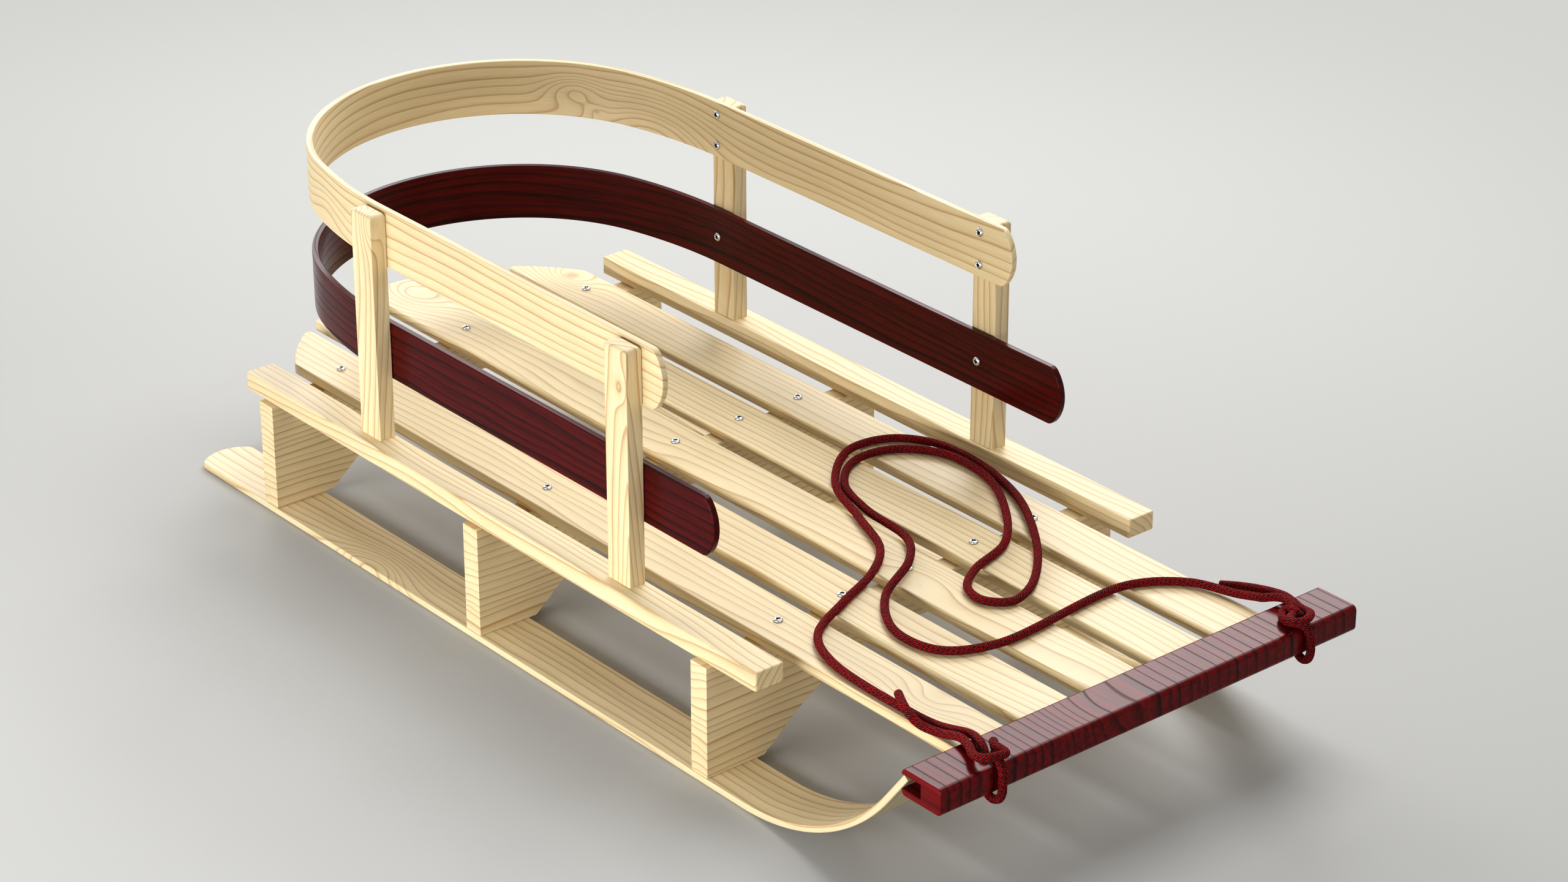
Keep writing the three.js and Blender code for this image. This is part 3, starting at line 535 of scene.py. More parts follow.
def grow_rings(tree, place, knots, wander=0.013):
    """Gives the place in a ring, 0 in spring to 1 in autumn, the ring's strength and the knots' hearts."""
    radius = length_of(tree, stretch(tree, place, (1.0, 1.0, 0.0)))
    for scale, drawn_out, share in WAVERS:
        waver = work_out(tree, "SUBTRACT", grain(tree, place, drawn_out, scale, 1.0), 0.5)
        radius = work_out(tree, "MULTIPLY_ADD", waver, share * wander, radius)
    hearts = 0.0
    for centre, size, push, has_heart in knots:
        radius, reach = push_rings(tree, place, radius, centre, size, push)
        if has_heart:
            heart = work_out(tree, "SUBTRACT", 1.0, work_out(tree, "MULTIPLY", reach, 3.0))
            hearts = work_out(tree, "MAXIMUM", heart, hearts)
    years = work_out(tree, "DIVIDE", radius, RING_WIDTH)
    year_line = add(tree, "CombineXYZ", (("X", years),)).outputs[0]
    years = work_out(tree, "MULTIPLY_ADD", noise(tree, year_line, 0.45, 0.0), 1.1, years)
    year = add(tree, "CombineXYZ", (("X", work_out(tree, "FLOOR", years)),)).outputs[0]
    strength = add(tree, "TexWhiteNoise", (("Vector", year),)).outputs[0]
    return work_out(tree, "FRACT", years), strength, hearts


print("one ring about every", RING_WIDTH / MILLIMETRE, "mm")

# %% [markdown]
# ## Pale wood under satin varnish
# The boards are a pale softwood. In each ring the spring wood is cream, and it deepens to a thin tan
# line in autumn. Fine fibres run along the grain, and broad patches are a little warmer. A flat cream
# with a bump map would look like plastic, so rings, fibres and patches each have their own layer.


# %% Paint the pale wood
def pale_wood_finish(name, knots=(), place_of=log_place):
    material, tree, shader = new_finish(name)
    place = place_of(tree)
    season, strength, hearts = grow_rings(tree, place, knots)
    rings = ramp(tree, season, (
        (0.0, "d8bd8a"), (0.06, "ebd8ae"), (0.5, "e8d4a6"),
        (0.78, "dfc797"), (0.93, "bd975f"), (1.0, "c5a26d"),
    ))
    rings = blend(tree, work_out(tree, "MULTIPLY_ADD", strength, -0.5, 0.5), rings, "e7d2a5")
    patches = grain(tree, place, 0.2, 28.0, 2.0)
    patch_tone = ramp(tree, patches, ((0.3, (0.93, 0.91, 0.87)), (0.7, (1.04, 1.04, 1.05))))
    fibres = grain(tree, place, 0.035, 1300.0, 2.0, 0.6)
    fibre_tone = ramp(tree, fibres, ((0.3, (0.94, 0.93, 0.91)), (0.65, 1.03)))
    colour = tinted(tree, rings, patch_tone, fibre_tone)
    if knots:
        colour = blend(tree, work_out(tree, "MULTIPLY", hearts, 0.7), colour, "b08a58")
    relief = work_out(tree, "MULTIPLY_ADD", season, -0.6, work_out(tree, "MULTIPLY", fibres, 0.5))
    fill(tree, shader, (
        ("Base Color", colour),
        ("Roughness", ramp(tree, fibres, ((0.2, 0.44), (0.8, 0.58)))),
        ("Coat Weight", 0.12),
        ("Coat Roughness", 0.28),
        ("Normal", raised(tree, relief, 0.08 * MILLIMETRE, 0.6)),
    ))
    return material


# Knots in the flat boards: the board, a point of its face in millimetres, its size, how far it pushes
# the rings aside in metres, and whether its heart shows
board_knots = (
    ("deck_slat_5", (124.3, 363.3, 100.3), 0.013, 0.019, True),
    ("deck_slat_3", (2.7, 412, 100.3), 0.02, 0.022, False),
    ("deck_slat_2", (-74.5, 134.6, 100.3), 0.014, 0.018, True),
    ("deck_slat_1", (-112.9, -345.7, 100.3), 0.011, 0.012, False),
    ("deck_slat_3", (-2.9, -217.5, 100.3), 0.016, -0.008, False),
    ("post_right_front", (-176.7, -97.8, 258.0), 0.006, 0.007, True),
    ("post_right_rear", (-176.7, 200.0, 280.0), 0.009, 0.012, False),
)
knots = [(spot_in_log(node, Vector(spot) * MILLIMETRE), size, push, heart)
         for node, spot, size, push, heart in board_knots]
pale_wood = pale_wood_finish("pale_wood", knots)
print("pale wood painted with", len(pale_wood.node_tree.nodes), "nodes")

# %% [markdown]
# ## Red lacquer
# The front bar and the lower hoop are stained burgundy under a smooth lacquer, and the grain shows as
# near-black streaks. The stain soaks in more where the wood is open, so the dark follows the same
# rings. A plain gloss would lie over them like glass, so each autumn line is also a little rougher
# than the rest and sunk by a hair.


# %% Paint the red lacquer
LACQUER_SHINE, LACQUER_ROUGHNESS, LINE_ROUGHNESS = 0.08, 0.2, 0.42


def red_lacquer_finish(name, brightness, line_depth, wander=0.013, knots=()):
    """Brightness multiplies the stain's colour. The autumn lines are sunk by line_depth, in millimetres."""
    material, tree, shader = new_finish(name)
    place = log_place(tree)
    season, strength, _ = grow_rings(tree, place, knots, wander)
    stain = ramp(tree, season, (
        (0.0, "600a0d"), (0.1, "740b0e"), (0.5, "6e0a0d"),
        (0.76, "500709"), (0.92, "180203"), (1.0, "2c0405"),
    ))
    stain = blend(tree, work_out(tree, "MULTIPLY_ADD", strength, -0.6, 0.6), stain, "680a0d")
    streaks = grain(tree, place, 0.03, 520.0, 3.0, 0.65)
    streak_tone = ramp(tree, streaks, ((0.34, 0.5 * brightness), (0.58, 1.08 * brightness)))
    line = ramp(tree, season, ((0.0, 0.4), (0.04, 0), (0.84, 0), (0.94, 1)))
    relief = work_out(tree, "MULTIPLY_ADD", line, -line_depth, work_out(tree, "MULTIPLY", streaks, 0.0015))
    fill(tree, shader, (
        ("Base Color", tinted(tree, stain, streak_tone)),
        ("Roughness", ramp(tree, line, ((0.0, LACQUER_ROUGHNESS), (1.0, LINE_ROUGHNESS)))),
        ("Specular IOR Level", LACQUER_SHINE),
        ("Normal", raised(tree, relief, MILLIMETRE)),
    ))
    return material


red_lacquer = red_lacquer_finish("red_lacquer", brightness=0.42, line_depth=0.02)
print("red lacquer painted with", len(red_lacquer.node_tree.nodes), "nodes")

# %% [markdown]
# ## Flat boards
# Slats, rails, bolsters and the bar are flat boards with an outline and softly rounded rims.
# A scaled cube has the wrong corners, and its rims are sharp. Here the outline is drawn with true arcs,
# pulled up to the board's thickness, and its rims are rounded by a bevel of several steps. Only then
# is each point told its place in the log, so that the grain runs on over the rounded rim.


# %% Draw an outline and make a board
def rounded_outline(corners, steps=6):
    """A closed outline through corners of (x, y, radius) in millimetres, anticlockwise, with true arcs."""
    outline = []
    for i, (x, y, radius) in enumerate(corners):
        before, after = corners[i - 1], corners[(i + 1) % len(corners)]
        arrival = math.atan2(y - before[1], x - before[0])
        turn = (math.atan2(after[1] - y, after[0] - x) - arrival) % (2 * math.pi)
        if radius == 0 or turn > math.pi:
            outline.append((x, y))
            continue
        setback = radius * math.tan(turn / 2)
        centre_x = x - setback * math.cos(arrival) - radius * math.sin(arrival)
        centre_y = y - setback * math.sin(arrival) + radius * math.cos(arrival)
        for k in range(steps + 1):
            angle = arrival - math.pi / 2 + turn * k / steps
            outline.append((centre_x + radius * math.cos(angle), centre_y + radius * math.sin(angle)))
    return outline


def rectangle(width, depth, radius):
    half, end = width / 2, depth / 2
    corners = ((-half, -end), (half, -end), (half, end), (-half, end))
    return rounded_outline([(*corner, radius) for corner in corners])


def board(outline, thickness, edge, place, rounds=4):
    """A flat board as a bmesh in metres. Its outline lies at zero, it goes up by its thickness."""
    bm = bmesh.new()
    bm.faces.new([bm.verts.new((x, y, 0)) for x, y in outline])
    grown = bmesh.ops.extrude_face_region(bm, geom=bm.faces[:])
    for vertex in grown["geom"]:
        if isinstance(vertex, bmesh.types.BMVert):
            vertex.co.z = thickness
    bmesh.ops.recalc_face_normals(bm, faces=bm.faces)
    rim = [e for e in bm.edges if e.verts[0].co.z == e.verts[1].co.z]
    bmesh.ops.bevel(bm, geom=rim, offset=edge, segments=rounds, profile=0.5, affect="EDGES")
    bmesh.ops.transform(bm, matrix=Matrix.Scale(MILLIMETRE, 4) @ place, verts=bm.verts)
    return bm


def skin(bm, rows):
    """Joins closed rows of points, each to the next, with faces."""
    for row, after in zip(rows, rows[1:]):
        for j in range(len(row)):
            following = (j + 1) % len(row)
            bm.faces.new((row[j], row[following], after[following], after[j]))


def grow_in_log(bm, node):
    """Writes each point's place in the log."""
    layer = bm.verts.layers.float_vector.new("log")
    for vertex in bm.verts:
        vertex[layer] = spot_in_log(node, vertex.co)


def even_shading(piece):
    """Lets the wide flat faces set the shading, so that only the rounded rims look round."""
    piece.data.set_sharp_from_angle(angle=math.radians(40))
    weighted = piece.modifiers.new("even_shading", "WEIGHTED_NORMAL")
    weighted.keep_sharp = True
    weighted.weight = 100


def lay(node, bm):
    """Grows a board in its log and lays it on the sledge in pale wood."""
    grow_in_log(bm, node)
    even_shading(finished(node, "wood", bm, pale_wood))


print("boards are shaped, grown and laid by helpers")

# %% [markdown]
# ## Deck slats
# Five slats run from the bar's groove to the back, where their ends follow one common arc. They could
# be one slotted board, but a real deck is laid slat by slat, and each slat comes from another part of
# the log, so each gets a pith of its own.

# %% Lay the deck
SLAT_WIDTH, SLAT_THICKNESS, DECK_BOTTOM = 45.32, 8.3, 92.0
SLAT_PLACES = (-119.54, -61.62, 0.0, 61.62, 119.54)
DECK_FRONT, REAR_ARC_CENTRE, REAR_ARC_RADIUS = -424.9, 280.0, 165.0
SLAT_EDGE, SLAT_CORNER = 1.4, 4.0


def slat_outline(middle):
    """The outline of a slat: square at the front, and at the rear its share of the common arc."""
    half, arc_steps = SLAT_WIDTH / 2, 20
    corners = [(-half, DECK_FRONT, 0), (half, DECK_FRONT, 0)]
    start, end = (math.acos((middle + side) / REAR_ARC_RADIUS) for side in (half, -half))
    for i in range(arc_steps + 1):
        angle = start + (end - start) * i / arc_steps
        x, y = REAR_ARC_RADIUS * math.cos(angle) - middle, REAR_ARC_RADIUS * math.sin(angle) + REAR_ARC_CENTRE
        if i in (0, arc_steps):
            corners.append((x, y, SLAT_CORNER))
        elif 3 < i < arc_steps - 3:  # the rounded corners need the outermost steps for themselves
            corners.append((x, y, 0))
    return rounded_outline(corners)


for number, middle in enumerate(SLAT_PLACES, 1):
    place = Matrix.Translation((middle, 0, DECK_BOTTOM))
    lay(f"deck_slat_{number}", board(slat_outline(middle), SLAT_THICKNESS, SLAT_EDGE, place))
    print("slat", number, "at x", middle, "mm")

# %% [markdown]
# ## Side rails
# A thicker rail runs over the bolsters' ends on each side and carries the posts. It is one straight
# board with rounded corners, and its rings are cut nearly upright, so its lines run straight.

# %% Lay the rails
SIDES = {"left": 1, "right": -1}
RAIL_X, RAIL_FRONT, RAIL_REAR = 173.35, -253.0, 365.0
RAIL_WIDTH, RAIL_THICKNESS, RAIL_CORNER, RAIL_EDGE = 25.1, 15.0, 1.9, 1.3
for name, side in SIDES.items():
    outline = rectangle(RAIL_WIDTH, RAIL_REAR - RAIL_FRONT, RAIL_CORNER)
    place = Matrix.Translation((side * RAIL_X, (RAIL_FRONT + RAIL_REAR) / 2, DECK_BOTTOM))
    lay(f"rail_{name}", board(outline, RAIL_THICKNESS, RAIL_EDGE, place))
    print("rail", name, "is", RAIL_REAR - RAIL_FRONT, "mm long")

# %% [markdown]
# ## Posts
# Four short posts stand on the rails in mortises and hold the hoops. The tenons can't be seen, so only
# the shaft is made here. Its long edges are nearly sharp, and its top is sanded round like a pillow. A
# bevel can't pass from a small radius to a large one, so the shaft is lofted through outlines: each
# one further up is smaller and has rounder corners.

# %% Stand the posts
POST_X, POST_FOOT, POST_HEIGHT = 169.84, 107.0, 180.5
POST_WIDTH, POST_DEPTH, POST_CORNER = 13.7, 24.6, 0.7
PILLOW, PILLOW_CORNER = 2.6, 2.6
POST_PLACES = {"front": -93.0, "rear": 209.2}


def post_shape(place, steps=6):
    bm = bmesh.new()
    levels = [(0.0, 0.0, POST_CORNER)]
    for i in range(steps + 1):
        rise, run = math.sin(math.pi / 2 * i / steps), math.cos(math.pi / 2 * i / steps)
        corner = POST_CORNER + (PILLOW_CORNER - POST_CORNER) * rise
        levels.append((POST_HEIGHT - PILLOW + PILLOW * rise, PILLOW - PILLOW * run, corner))
    rows = []
    for height, inset, corner in levels:
        outline = rectangle(POST_WIDTH - 2 * inset, POST_DEPTH - 2 * inset, corner)
        rows.append([bm.verts.new(place @ Vector((x, y, height)) * MILLIMETRE) for x, y in outline])
    skin(bm, rows)
    bm.faces.new(rows[0][::-1])
    bm.faces.new(rows[-1])
    return bm


for name, side in SIDES.items():
    for where, y in POST_PLACES.items():
        lay(f"post_{name}_{where}", post_shape(Matrix.Translation((side * POST_X, y, POST_FOOT))))
        print("post", name, where, "stands at", (side * POST_X, y, POST_FOOT))

# %% [markdown]
# ## Bolsters
# Each bolster is a cross board on edge: straight along its top, with a foot at each end and an arch
# between them. The arch is sawn in one curve that runs out into straight flanks, so its outline is an
# arc between two sloping lines. The grain runs across the sledge, and its rings show on the ends.

# %% Stand the bolsters
BOLSTER_HALF, BOLSTER_HEIGHT, BOLSTER_THICKNESS, BOLSTER_FOOT, BOLSTER_EDGE = 190.0, 86.4, 17.4, 5.3, 0.5
FOOT_CORNER, ARCH_RISE, STRAIGHT_SHARE = 139.0, 60.2, 0.28
BOLSTER_PLACES = {"front": -197.0, "middle": 66.41, "rear": 333.0}


def bolster_outline(steps=36):
    span = math.hypot(FOOT_CORNER, ARCH_RISE)
    slope = math.atan2(ARCH_RISE, FOOT_CORNER) + math.asin((1 - STRAIGHT_SHARE) * ARCH_RISE / span)
    radius = (FOOT_CORNER * math.sin(slope) - ARCH_RISE * math.cos(slope)) / (1 - math.cos(slope))
    outline = [(-BOLSTER_HALF, 0), (-FOOT_CORNER, 0)]
    for k in range(steps + 1):
        angle = -slope + 2 * slope * k / steps
        outline.append((radius * math.sin(angle), ARCH_RISE - radius + radius * math.cos(angle)))
    top = [(BOLSTER_HALF, BOLSTER_HEIGHT), (-BOLSTER_HALF, BOLSTER_HEIGHT)]
    return outline + [(FOOT_CORNER, 0), (BOLSTER_HALF, 0)] + top


on_edge = Matrix.Rotation(math.pi / 2, 4, "X")
for label, y in BOLSTER_PLACES.items():
    place = Matrix.Translation((0, y + BOLSTER_THICKNESS / 2, BOLSTER_FOOT)) @ on_edge
    lay(f"bolster_{label}", board(bolster_outline(), BOLSTER_THICKNESS, BOLSTER_EDGE, place, rounds=2))
    print("bolster", label, "at y", y, "mm")

# %% [markdown]
# ## Bent boards
# The runners and hoops are thin boards, bent in steam round a form. A curve with a bevelled profile
# would give the bend, but not the ends, which are cut to an arc. So each board is lofted: a path of
# straight runs and arcs, the board's side drawn along it with its shaped ends, and the rounded long
# edges made of several levels. The log place is that of the flat board before it was bent.


# %% Walk a path of straight runs and arcs
def advance(place, curvature, distance):
    x, y, heading = place
    if curvature == 0:
        return x + distance * math.cos(heading), y + distance * math.sin(heading), heading
    turned = heading + curvature * distance
    return (x + (math.sin(turned) - math.sin(heading)) / curvature,
            y - (math.cos(turned) - math.cos(heading)) / curvature, turned)


def bent_path(place, runs):
    """Runs are (length, curvature). Gives the whole length and the place at any distance."""
    legs, start = [], 0.0
    for length, curvature in runs:
        legs.append((start, place, curvature))
        place = advance(place, curvature, length)
        start += length

    def at(distance):
        begun, where, curvature = next((leg for leg in reversed(legs) if leg[0] <= distance), legs[0])
        return advance(where, curvature, distance - begun)

    return start, at


def arc_tip(width, crown, corner, steps=14):
    """Half of an arc-cut end, from its middle to the board's side, as (along, out) in millimetres."""
    radius = (width**2 / 4 + crown**2) / (2 * crown)
    half_angle = math.asin(width / 2 / radius)
    arc_end = half_angle - corner / radius
    points = []
    for i in range(steps):
        angle = arc_end * (2 * i + 1) / (2 * steps - 1)
        points.append((radius - radius * math.cos(angle), radius * math.sin(angle)))
    start, corner_point, end = points[-1], (crown, width / 2), (crown + corner, width / 2)
    for i in range(1, 5):
        t = i / 4
        points.append(tuple((1 - t)**2 * a + 2 * t * (1 - t) * b + t**2 * c
                            for a, b, c in zip(start, corner_point, end)))
    return points


print("paths and tips ready")

# %% [markdown]
# The board's side is a row of points from one end to the other. Each level of the rounded edge lies
# further in, and every row is laid along the path at its own height in the board's thickness.


# %% Loft a bent board
def inset_side(side, inset):
    moved = []
    for i, (along, out) in enumerate(side):
        before = side[i - 1] if i else (side[0][0], -side[0][1])
        after = side[i + 1] if i < len(side) - 1 else (side[-1][0], -side[-1][1])
        first = Vector((along - before[0], out - before[1])).normalized()
        second = Vector((after[0] - along, after[1] - out)).normalized()
        way = (first + second).normalized()
        squeeze = inset / max(way.dot(first), 0.5)
        moved.append((along + way.y * squeeze, out - way.x * squeeze))
    return moved


def bent_board(path, width, thickness, edge, tips, place, node, pace=4.0, rounds=4):
    """Lofts a board along its path, in the path's plane, and grows it in its log."""
    length, at = path
    start_tip, end_tip = tips
    free = length - start_tip[-1][0] - end_tip[-1][0]
    count = round(free / pace)
    inner = [(start_tip[-1][0] + free * i / count, width / 2) for i in range(1, count)]
    side = start_tip + inner + [(length - along, out) for along, out in reversed(end_tip)]
    half = thickness / 2
    turns = [math.pi / 2 * i / rounds for i in range(rounds + 1)]
    upper = [(half - edge + edge * math.cos(t), edge - edge * math.sin(t)) for t in turns]
    levels = upper + [(-height, inset) for height, inset in reversed(upper)]
    sheets = [inset_side(side, inset) for _, inset in levels]
    bm = bmesh.new()
    layer = bm.verts.layers.float_vector.new("log")
    rows = []
    for k in range(len(side)):
        row = []
        for hand in (1, -1):
            for (height, _), sheet in zip(levels, sheets):
                along, out = sheet[k]
                x, y, heading = at(along)
                spot = Vector((x - math.sin(heading) * height, y + math.cos(heading) * height, hand * out))
                vertex = bm.verts.new(place @ spot * MILLIMETRE)
                flat = (hand * out * MILLIMETRE, height * MILLIMETRE, (along - length / 2) * MILLIMETRE)
                vertex[layer] = place_in_log(node, *flat)
                row.append(vertex)
        rows.append(row[:len(levels)] + row[len(levels):][::-1])
    skin(bm, rows)
    for row in (rows[0], rows[-1]):
        size = len(levels)
        for j in range(size - 1):
            bm.faces.new((row[j], row[j + 1], row[-2 - j], row[-1 - j]))
    return bm


print("lofting helpers ready")

# %% [markdown]
# ## Runners
# A runner is flat under the feet and turns up at the front, until its square tip goes into the groove
# of the bar. Its rear end is cut to an arc. Three holes for the screws from below are countersunk in
# it. A Boolean modifier cuts one closed mesh with another, as a drill would. It knows nothing of logs,
# so the points round each hole are told their place in the log again.


# %% A drill
def drilled(piece, drills, log_of):
    """Cuts the drills out of a piece, keeps the result as its mesh and writes the places in the log again."""
    for drill in drills:
        cut = piece.modifiers.new("drill", "BOOLEAN")
        cut.object, cut.operation, cut.solver = drill, "DIFFERENCE", "EXACT"
    shown = piece.evaluated_get(bpy.context.evaluated_depsgraph_get())
    mesh = bpy.data.meshes.new_from_object(shown)
    piece.modifiers.clear()
    old, piece.data = piece.data, mesh
    bpy.data.meshes.remove(old)
    for drill in drills:
        bpy.data.meshes.remove(drill.data)
    places = mesh.attributes["log"].data
    for vertex in mesh.vertices:
        place = log_of(vertex.co)
        if place:
            places[vertex.index].vector = place
    return piece


def drill(name, x, y, low, high, low_radius, high_radius, sides=32):
    """A round drill from one height to another, all in millimetres. Its two radii may differ."""
    bm = bmesh.new()
    bmesh.ops.create_cone(bm, cap_ends=True, segments=sides, radius1=low_radius * MILLIMETRE,
                          radius2=high_radius * MILLIMETRE, depth=(high - low) * MILLIMETRE)
    bmesh.ops.translate(bm, verts=bm.verts, vec=Vector((x, y, (low + high) / 2)) * MILLIMETRE)
    bm.verts.layers.float_vector.new("log")
    return add_object(name, bm)


print("drill ready")

# %% Bend the runners
SINK_BOTTOM, SINK_TOP, SINK_MOUTH, SINK_NECK = -1.0, 2.9, 5.75, 1.85
RUNNER_X, RUNNER_WIDTH, RUNNER_THICKNESS, RUNNER_EDGE = 168.0, 45.6, 5.0, 0.9
RUNNER_REAR, BEND_START, BEND_RADIUS, BEND_TURN, TIP_LENGTH = 440.4, -242.9, 186.7, 52.39, 31.7
TIP_CROWN, TIP_CORNER = 10.4, 3.0
across_sledge = Matrix(((0, 0, 1, 0), (1, 0, 0, 0), (0, 1, 0, 0), (0, 0, 0, 1)))
bend_turn = math.radians(BEND_TURN)
runner_path = bent_path((RUNNER_REAR, RUNNER_THICKNESS / 2, math.pi), [
    (RUNNER_REAR - BEND_START, 0), (BEND_RADIUS * bend_turn, -1 / BEND_RADIUS), (TIP_LENGTH, 0)])
runner_knot = (place_in_log("runner_right", -0.02, -0.0025, -0.203), 0.016, 0.02, False)
runner_wood = pale_wood_finish("runner_wood", [runner_knot])


def log_under_feet(node, middle, spot):
    """The place in the log of a point of a runner's flat run, or None in the bend."""
    if spot.y < BEND_START * MILLIMETRE:
        return None
    height = RUNNER_THICKNESS / 2 * MILLIMETRE - spot.z
    along = RUNNER_REAR * MILLIMETRE - spot.y - runner_path[0] / 2 * MILLIMETRE
    return place_in_log(node, spot.x - middle * MILLIMETRE, height, along)


tips = (arc_tip(RUNNER_WIDTH, TIP_CROWN, TIP_CORNER), [(0.0, RUNNER_WIDTH / 2)])
for name, side in SIDES.items():
    node, middle = f"runner_{name}", side * RUNNER_X
    place = Matrix.Translation((middle, 0, 0)) @ across_sledge
    bm = bent_board(runner_path, RUNNER_WIDTH, RUNNER_THICKNESS, RUNNER_EDGE, tips, place, node)
    runner = finished(node, "wood", bm, runner_wood)
    sinks = [drill(f"sink_{name}_{where}", middle, y, SINK_BOTTOM, SINK_TOP, SINK_MOUTH, SINK_NECK)
             for where, y in BOLSTER_PLACES.items()]
    even_shading(drilled(runner, sinks, lambda spot: log_under_feet(node, middle, spot)))
    print(node, "is", round(runner_path[0]), "mm long before bending")

# %% [markdown]
# ## Hoops
# Both hoops run straight along the inside of the posts, ease into a shoulder, and round the back in
# one arc. The upper one is pale, the lower one red and longer at the front.

# %% Bend the hoops
HOOP_HALF, HOOP_THICKNESS, HOOP_HEIGHT, HOOP_EDGE = 162.69, 5.2, 45.5, 0.9
UPPER_FRONT, UPPER_BOTTOM, LOWER_FRONT, LOWER_BOTTOM = -127.3, 244.0, -181.7, 154.0
SHOULDER_START, SHOULDER_RADIUS, SHOULDER_TURN = 206.0, 377.0, math.radians(15.14)
hoop_middle = HOOP_HALF - HOOP_THICKNESS / 2
back_radius = (hoop_middle - SHOULDER_RADIUS * (1 - math.cos(SHOULDER_TURN))) / math.cos(SHOULDER_TURN)

# Knots in the upper hoop: how far across and along the flat board, size and push in metres, and the heart
upper_knots = [(place_in_log("upper_hoop", across, -0.0026, along), size, push, heart)
               for across, along, size, push, heart in (
                   (-0.001, 0.148, 0.008, 0.016, False), (-0.016, 0.168, 0.004, 0.004, True),
                   (-0.022, 0.222, 0.022, 0.022, False), (-0.005, -0.214, 0.012, 0.008, False))]
pale_hoop_wood = pale_wood_finish("pale_hoop_wood", upper_knots)
hoops = (
    ("upper_hoop", UPPER_FRONT, UPPER_BOTTOM, pale_hoop_wood, "pale_wood"),
    ("lower_hoop", LOWER_FRONT, LOWER_BOTTOM, red_lacquer, "red_lacquer"),
)
tip = arc_tip(HOOP_HEIGHT, TIP_CROWN, TIP_CORNER)
for node, front, bottom, finish, slot in hoops:
    arm, shoulder = (SHOULDER_START - front, 0), (SHOULDER_RADIUS * SHOULDER_TURN, -1 / SHOULDER_RADIUS)
    back = (back_radius * (math.pi - 2 * SHOULDER_TURN), -1 / back_radius)
    hoop_path = bent_path((-hoop_middle, front, math.pi / 2), [arm, shoulder, back, shoulder, arm])
    place = Matrix.Translation((0, 0, bottom + HOOP_HEIGHT / 2))
    bm = bent_board(hoop_path, HOOP_HEIGHT, HOOP_THICKNESS, HOOP_EDGE, (tip, tip), place, node)
    even_shading(finished(node, "wood", bm, finish))
    print(node, "is", round(hoop_path[0]), "mm long before bending")

# %% [markdown]
# ## Front bar
# The bar holds the slats' front ends and the runners' tips in a groove along its back. It is one
# outline with the groove in it, pulled across the sledge. The two rope holes are drilled afterwards.

# %% Make and drill the bar
BAR_HALF, BAR_FRONT, BAR_REAR, GROOVE_END = 192.1, -445.0, -407.0, -425.2
BAR_BOTTOM, BAR_TOP, GROOVE_BOTTOM, GROOVE_TOP = 86.9, 106.7, 91.7, 102.2
BAR_EDGE, FRONT_CORNER, TOP_REAR_CORNER, BOTTOM_REAR_CORNER = 1, 4, 3, 3.36
ROPE_HOLE_X, ROPE_HOLE_Y, ROPE_HOLE_RADIUS, DRILL_PAST = 144.0, -434.0, 4.0, 2
bar_outline = rounded_outline([
    (BAR_FRONT, BAR_TOP, FRONT_CORNER), (BAR_FRONT, BAR_BOTTOM, FRONT_CORNER),
    (BAR_REAR, BAR_BOTTOM, BOTTOM_REAR_CORNER), (BAR_REAR, GROOVE_BOTTOM, 0), (GROOVE_END, GROOVE_BOTTOM, 0),
    (GROOVE_END, GROOVE_TOP, 0), (BAR_REAR, GROOVE_TOP, 0), (BAR_REAR, BAR_TOP, TOP_REAR_CORNER),
])
place = across_sledge @ Matrix.Translation((0, 0, -BAR_HALF))
bm = board(bar_outline, 2 * BAR_HALF, BAR_EDGE, place, rounds=3)
grow_in_log(bm, "front_bar")
bar_swirl = spot_in_log("front_bar", Vector((-48, -432, BAR_TOP)) * MILLIMETRE)
bar_lacquer = red_lacquer_finish("bar_lacquer", brightness=1.0, line_depth=0.01, wander=0.004,
                                 knots=[(bar_swirl, 0.016, 0.013, False)])
bar = finished("front_bar", "wood", bm, bar_lacquer)
drills = [drill(f"drill_{name}", side * ROPE_HOLE_X, ROPE_HOLE_Y, BAR_BOTTOM - DRILL_PAST,
                BAR_TOP + DRILL_PAST, ROPE_HOLE_RADIUS, ROPE_HOLE_RADIUS) for name, side in SIDES.items()]
even_shading(drilled(bar, drills, lambda spot: spot_in_log("front_bar", spot)))
print("bar has", len(bar.data.polygons), "faces")

# %% [markdown]
# ## Dome-head screws
# Chromed screws with a cross recess hold the slats and the hoops. A half sphere would show no recess.
# Each head is a round grid of points that is lifted to a dome, and pushed down again inside the cross.
# The shank is hidden in the wood, so only the head is made, down to its seat.

# %% Turn the screws
def metal_finish(name, scale, tones, roughness, paints_recess_shade=False):
    """A metal whose tone and roughness wander between two values, and which may have its recess painted
    near-black as shade.
    """
    material, tree, shader = new_finish(name)
    scuffs = noise(tree, own_place(tree), scale, 3.0)
    colour, gloss = [ramp(tree, scuffs, ((0.3, low), (0.7, high))) for low, high in (tones, roughness)]
    if paints_recess_shade:
        # Painted shade: the deeper a point lies in the cross recess, the nearer to black it is painted
        recess_shade_share = add(tree, "Attribute", attribute_name="recess").outputs["Fac"]
        colour = blend(tree, ramp(tree, recess_shade_share, ((0.25, 0), (0.7, 1))), colour, "101010")
    fill(tree, shader, (("Base Color", colour), ("Roughness", gloss), ("Metallic", 1.0)))
    return material


# Chrome for the screw heads, with the cross recess painted near-black as shade
chrome = metal_finish("chrome_screw", 900.0, ("b9bbbd", "dcdee0"), (0.1, 0.18), paints_recess_shade=True)
HEAD_RADIUS, DOME, DOME_RIM, HEAD_FOOT = 3.5, 2.0, 0.35, -0.3
RECESS_DEPTH, ARM_LENGTH, ARM_WIDTH, ARM_TAPER = 1.1, 1.85, 0.75, 0.16
WALL_TOP, WALL_RUN = 1.12, 0.24


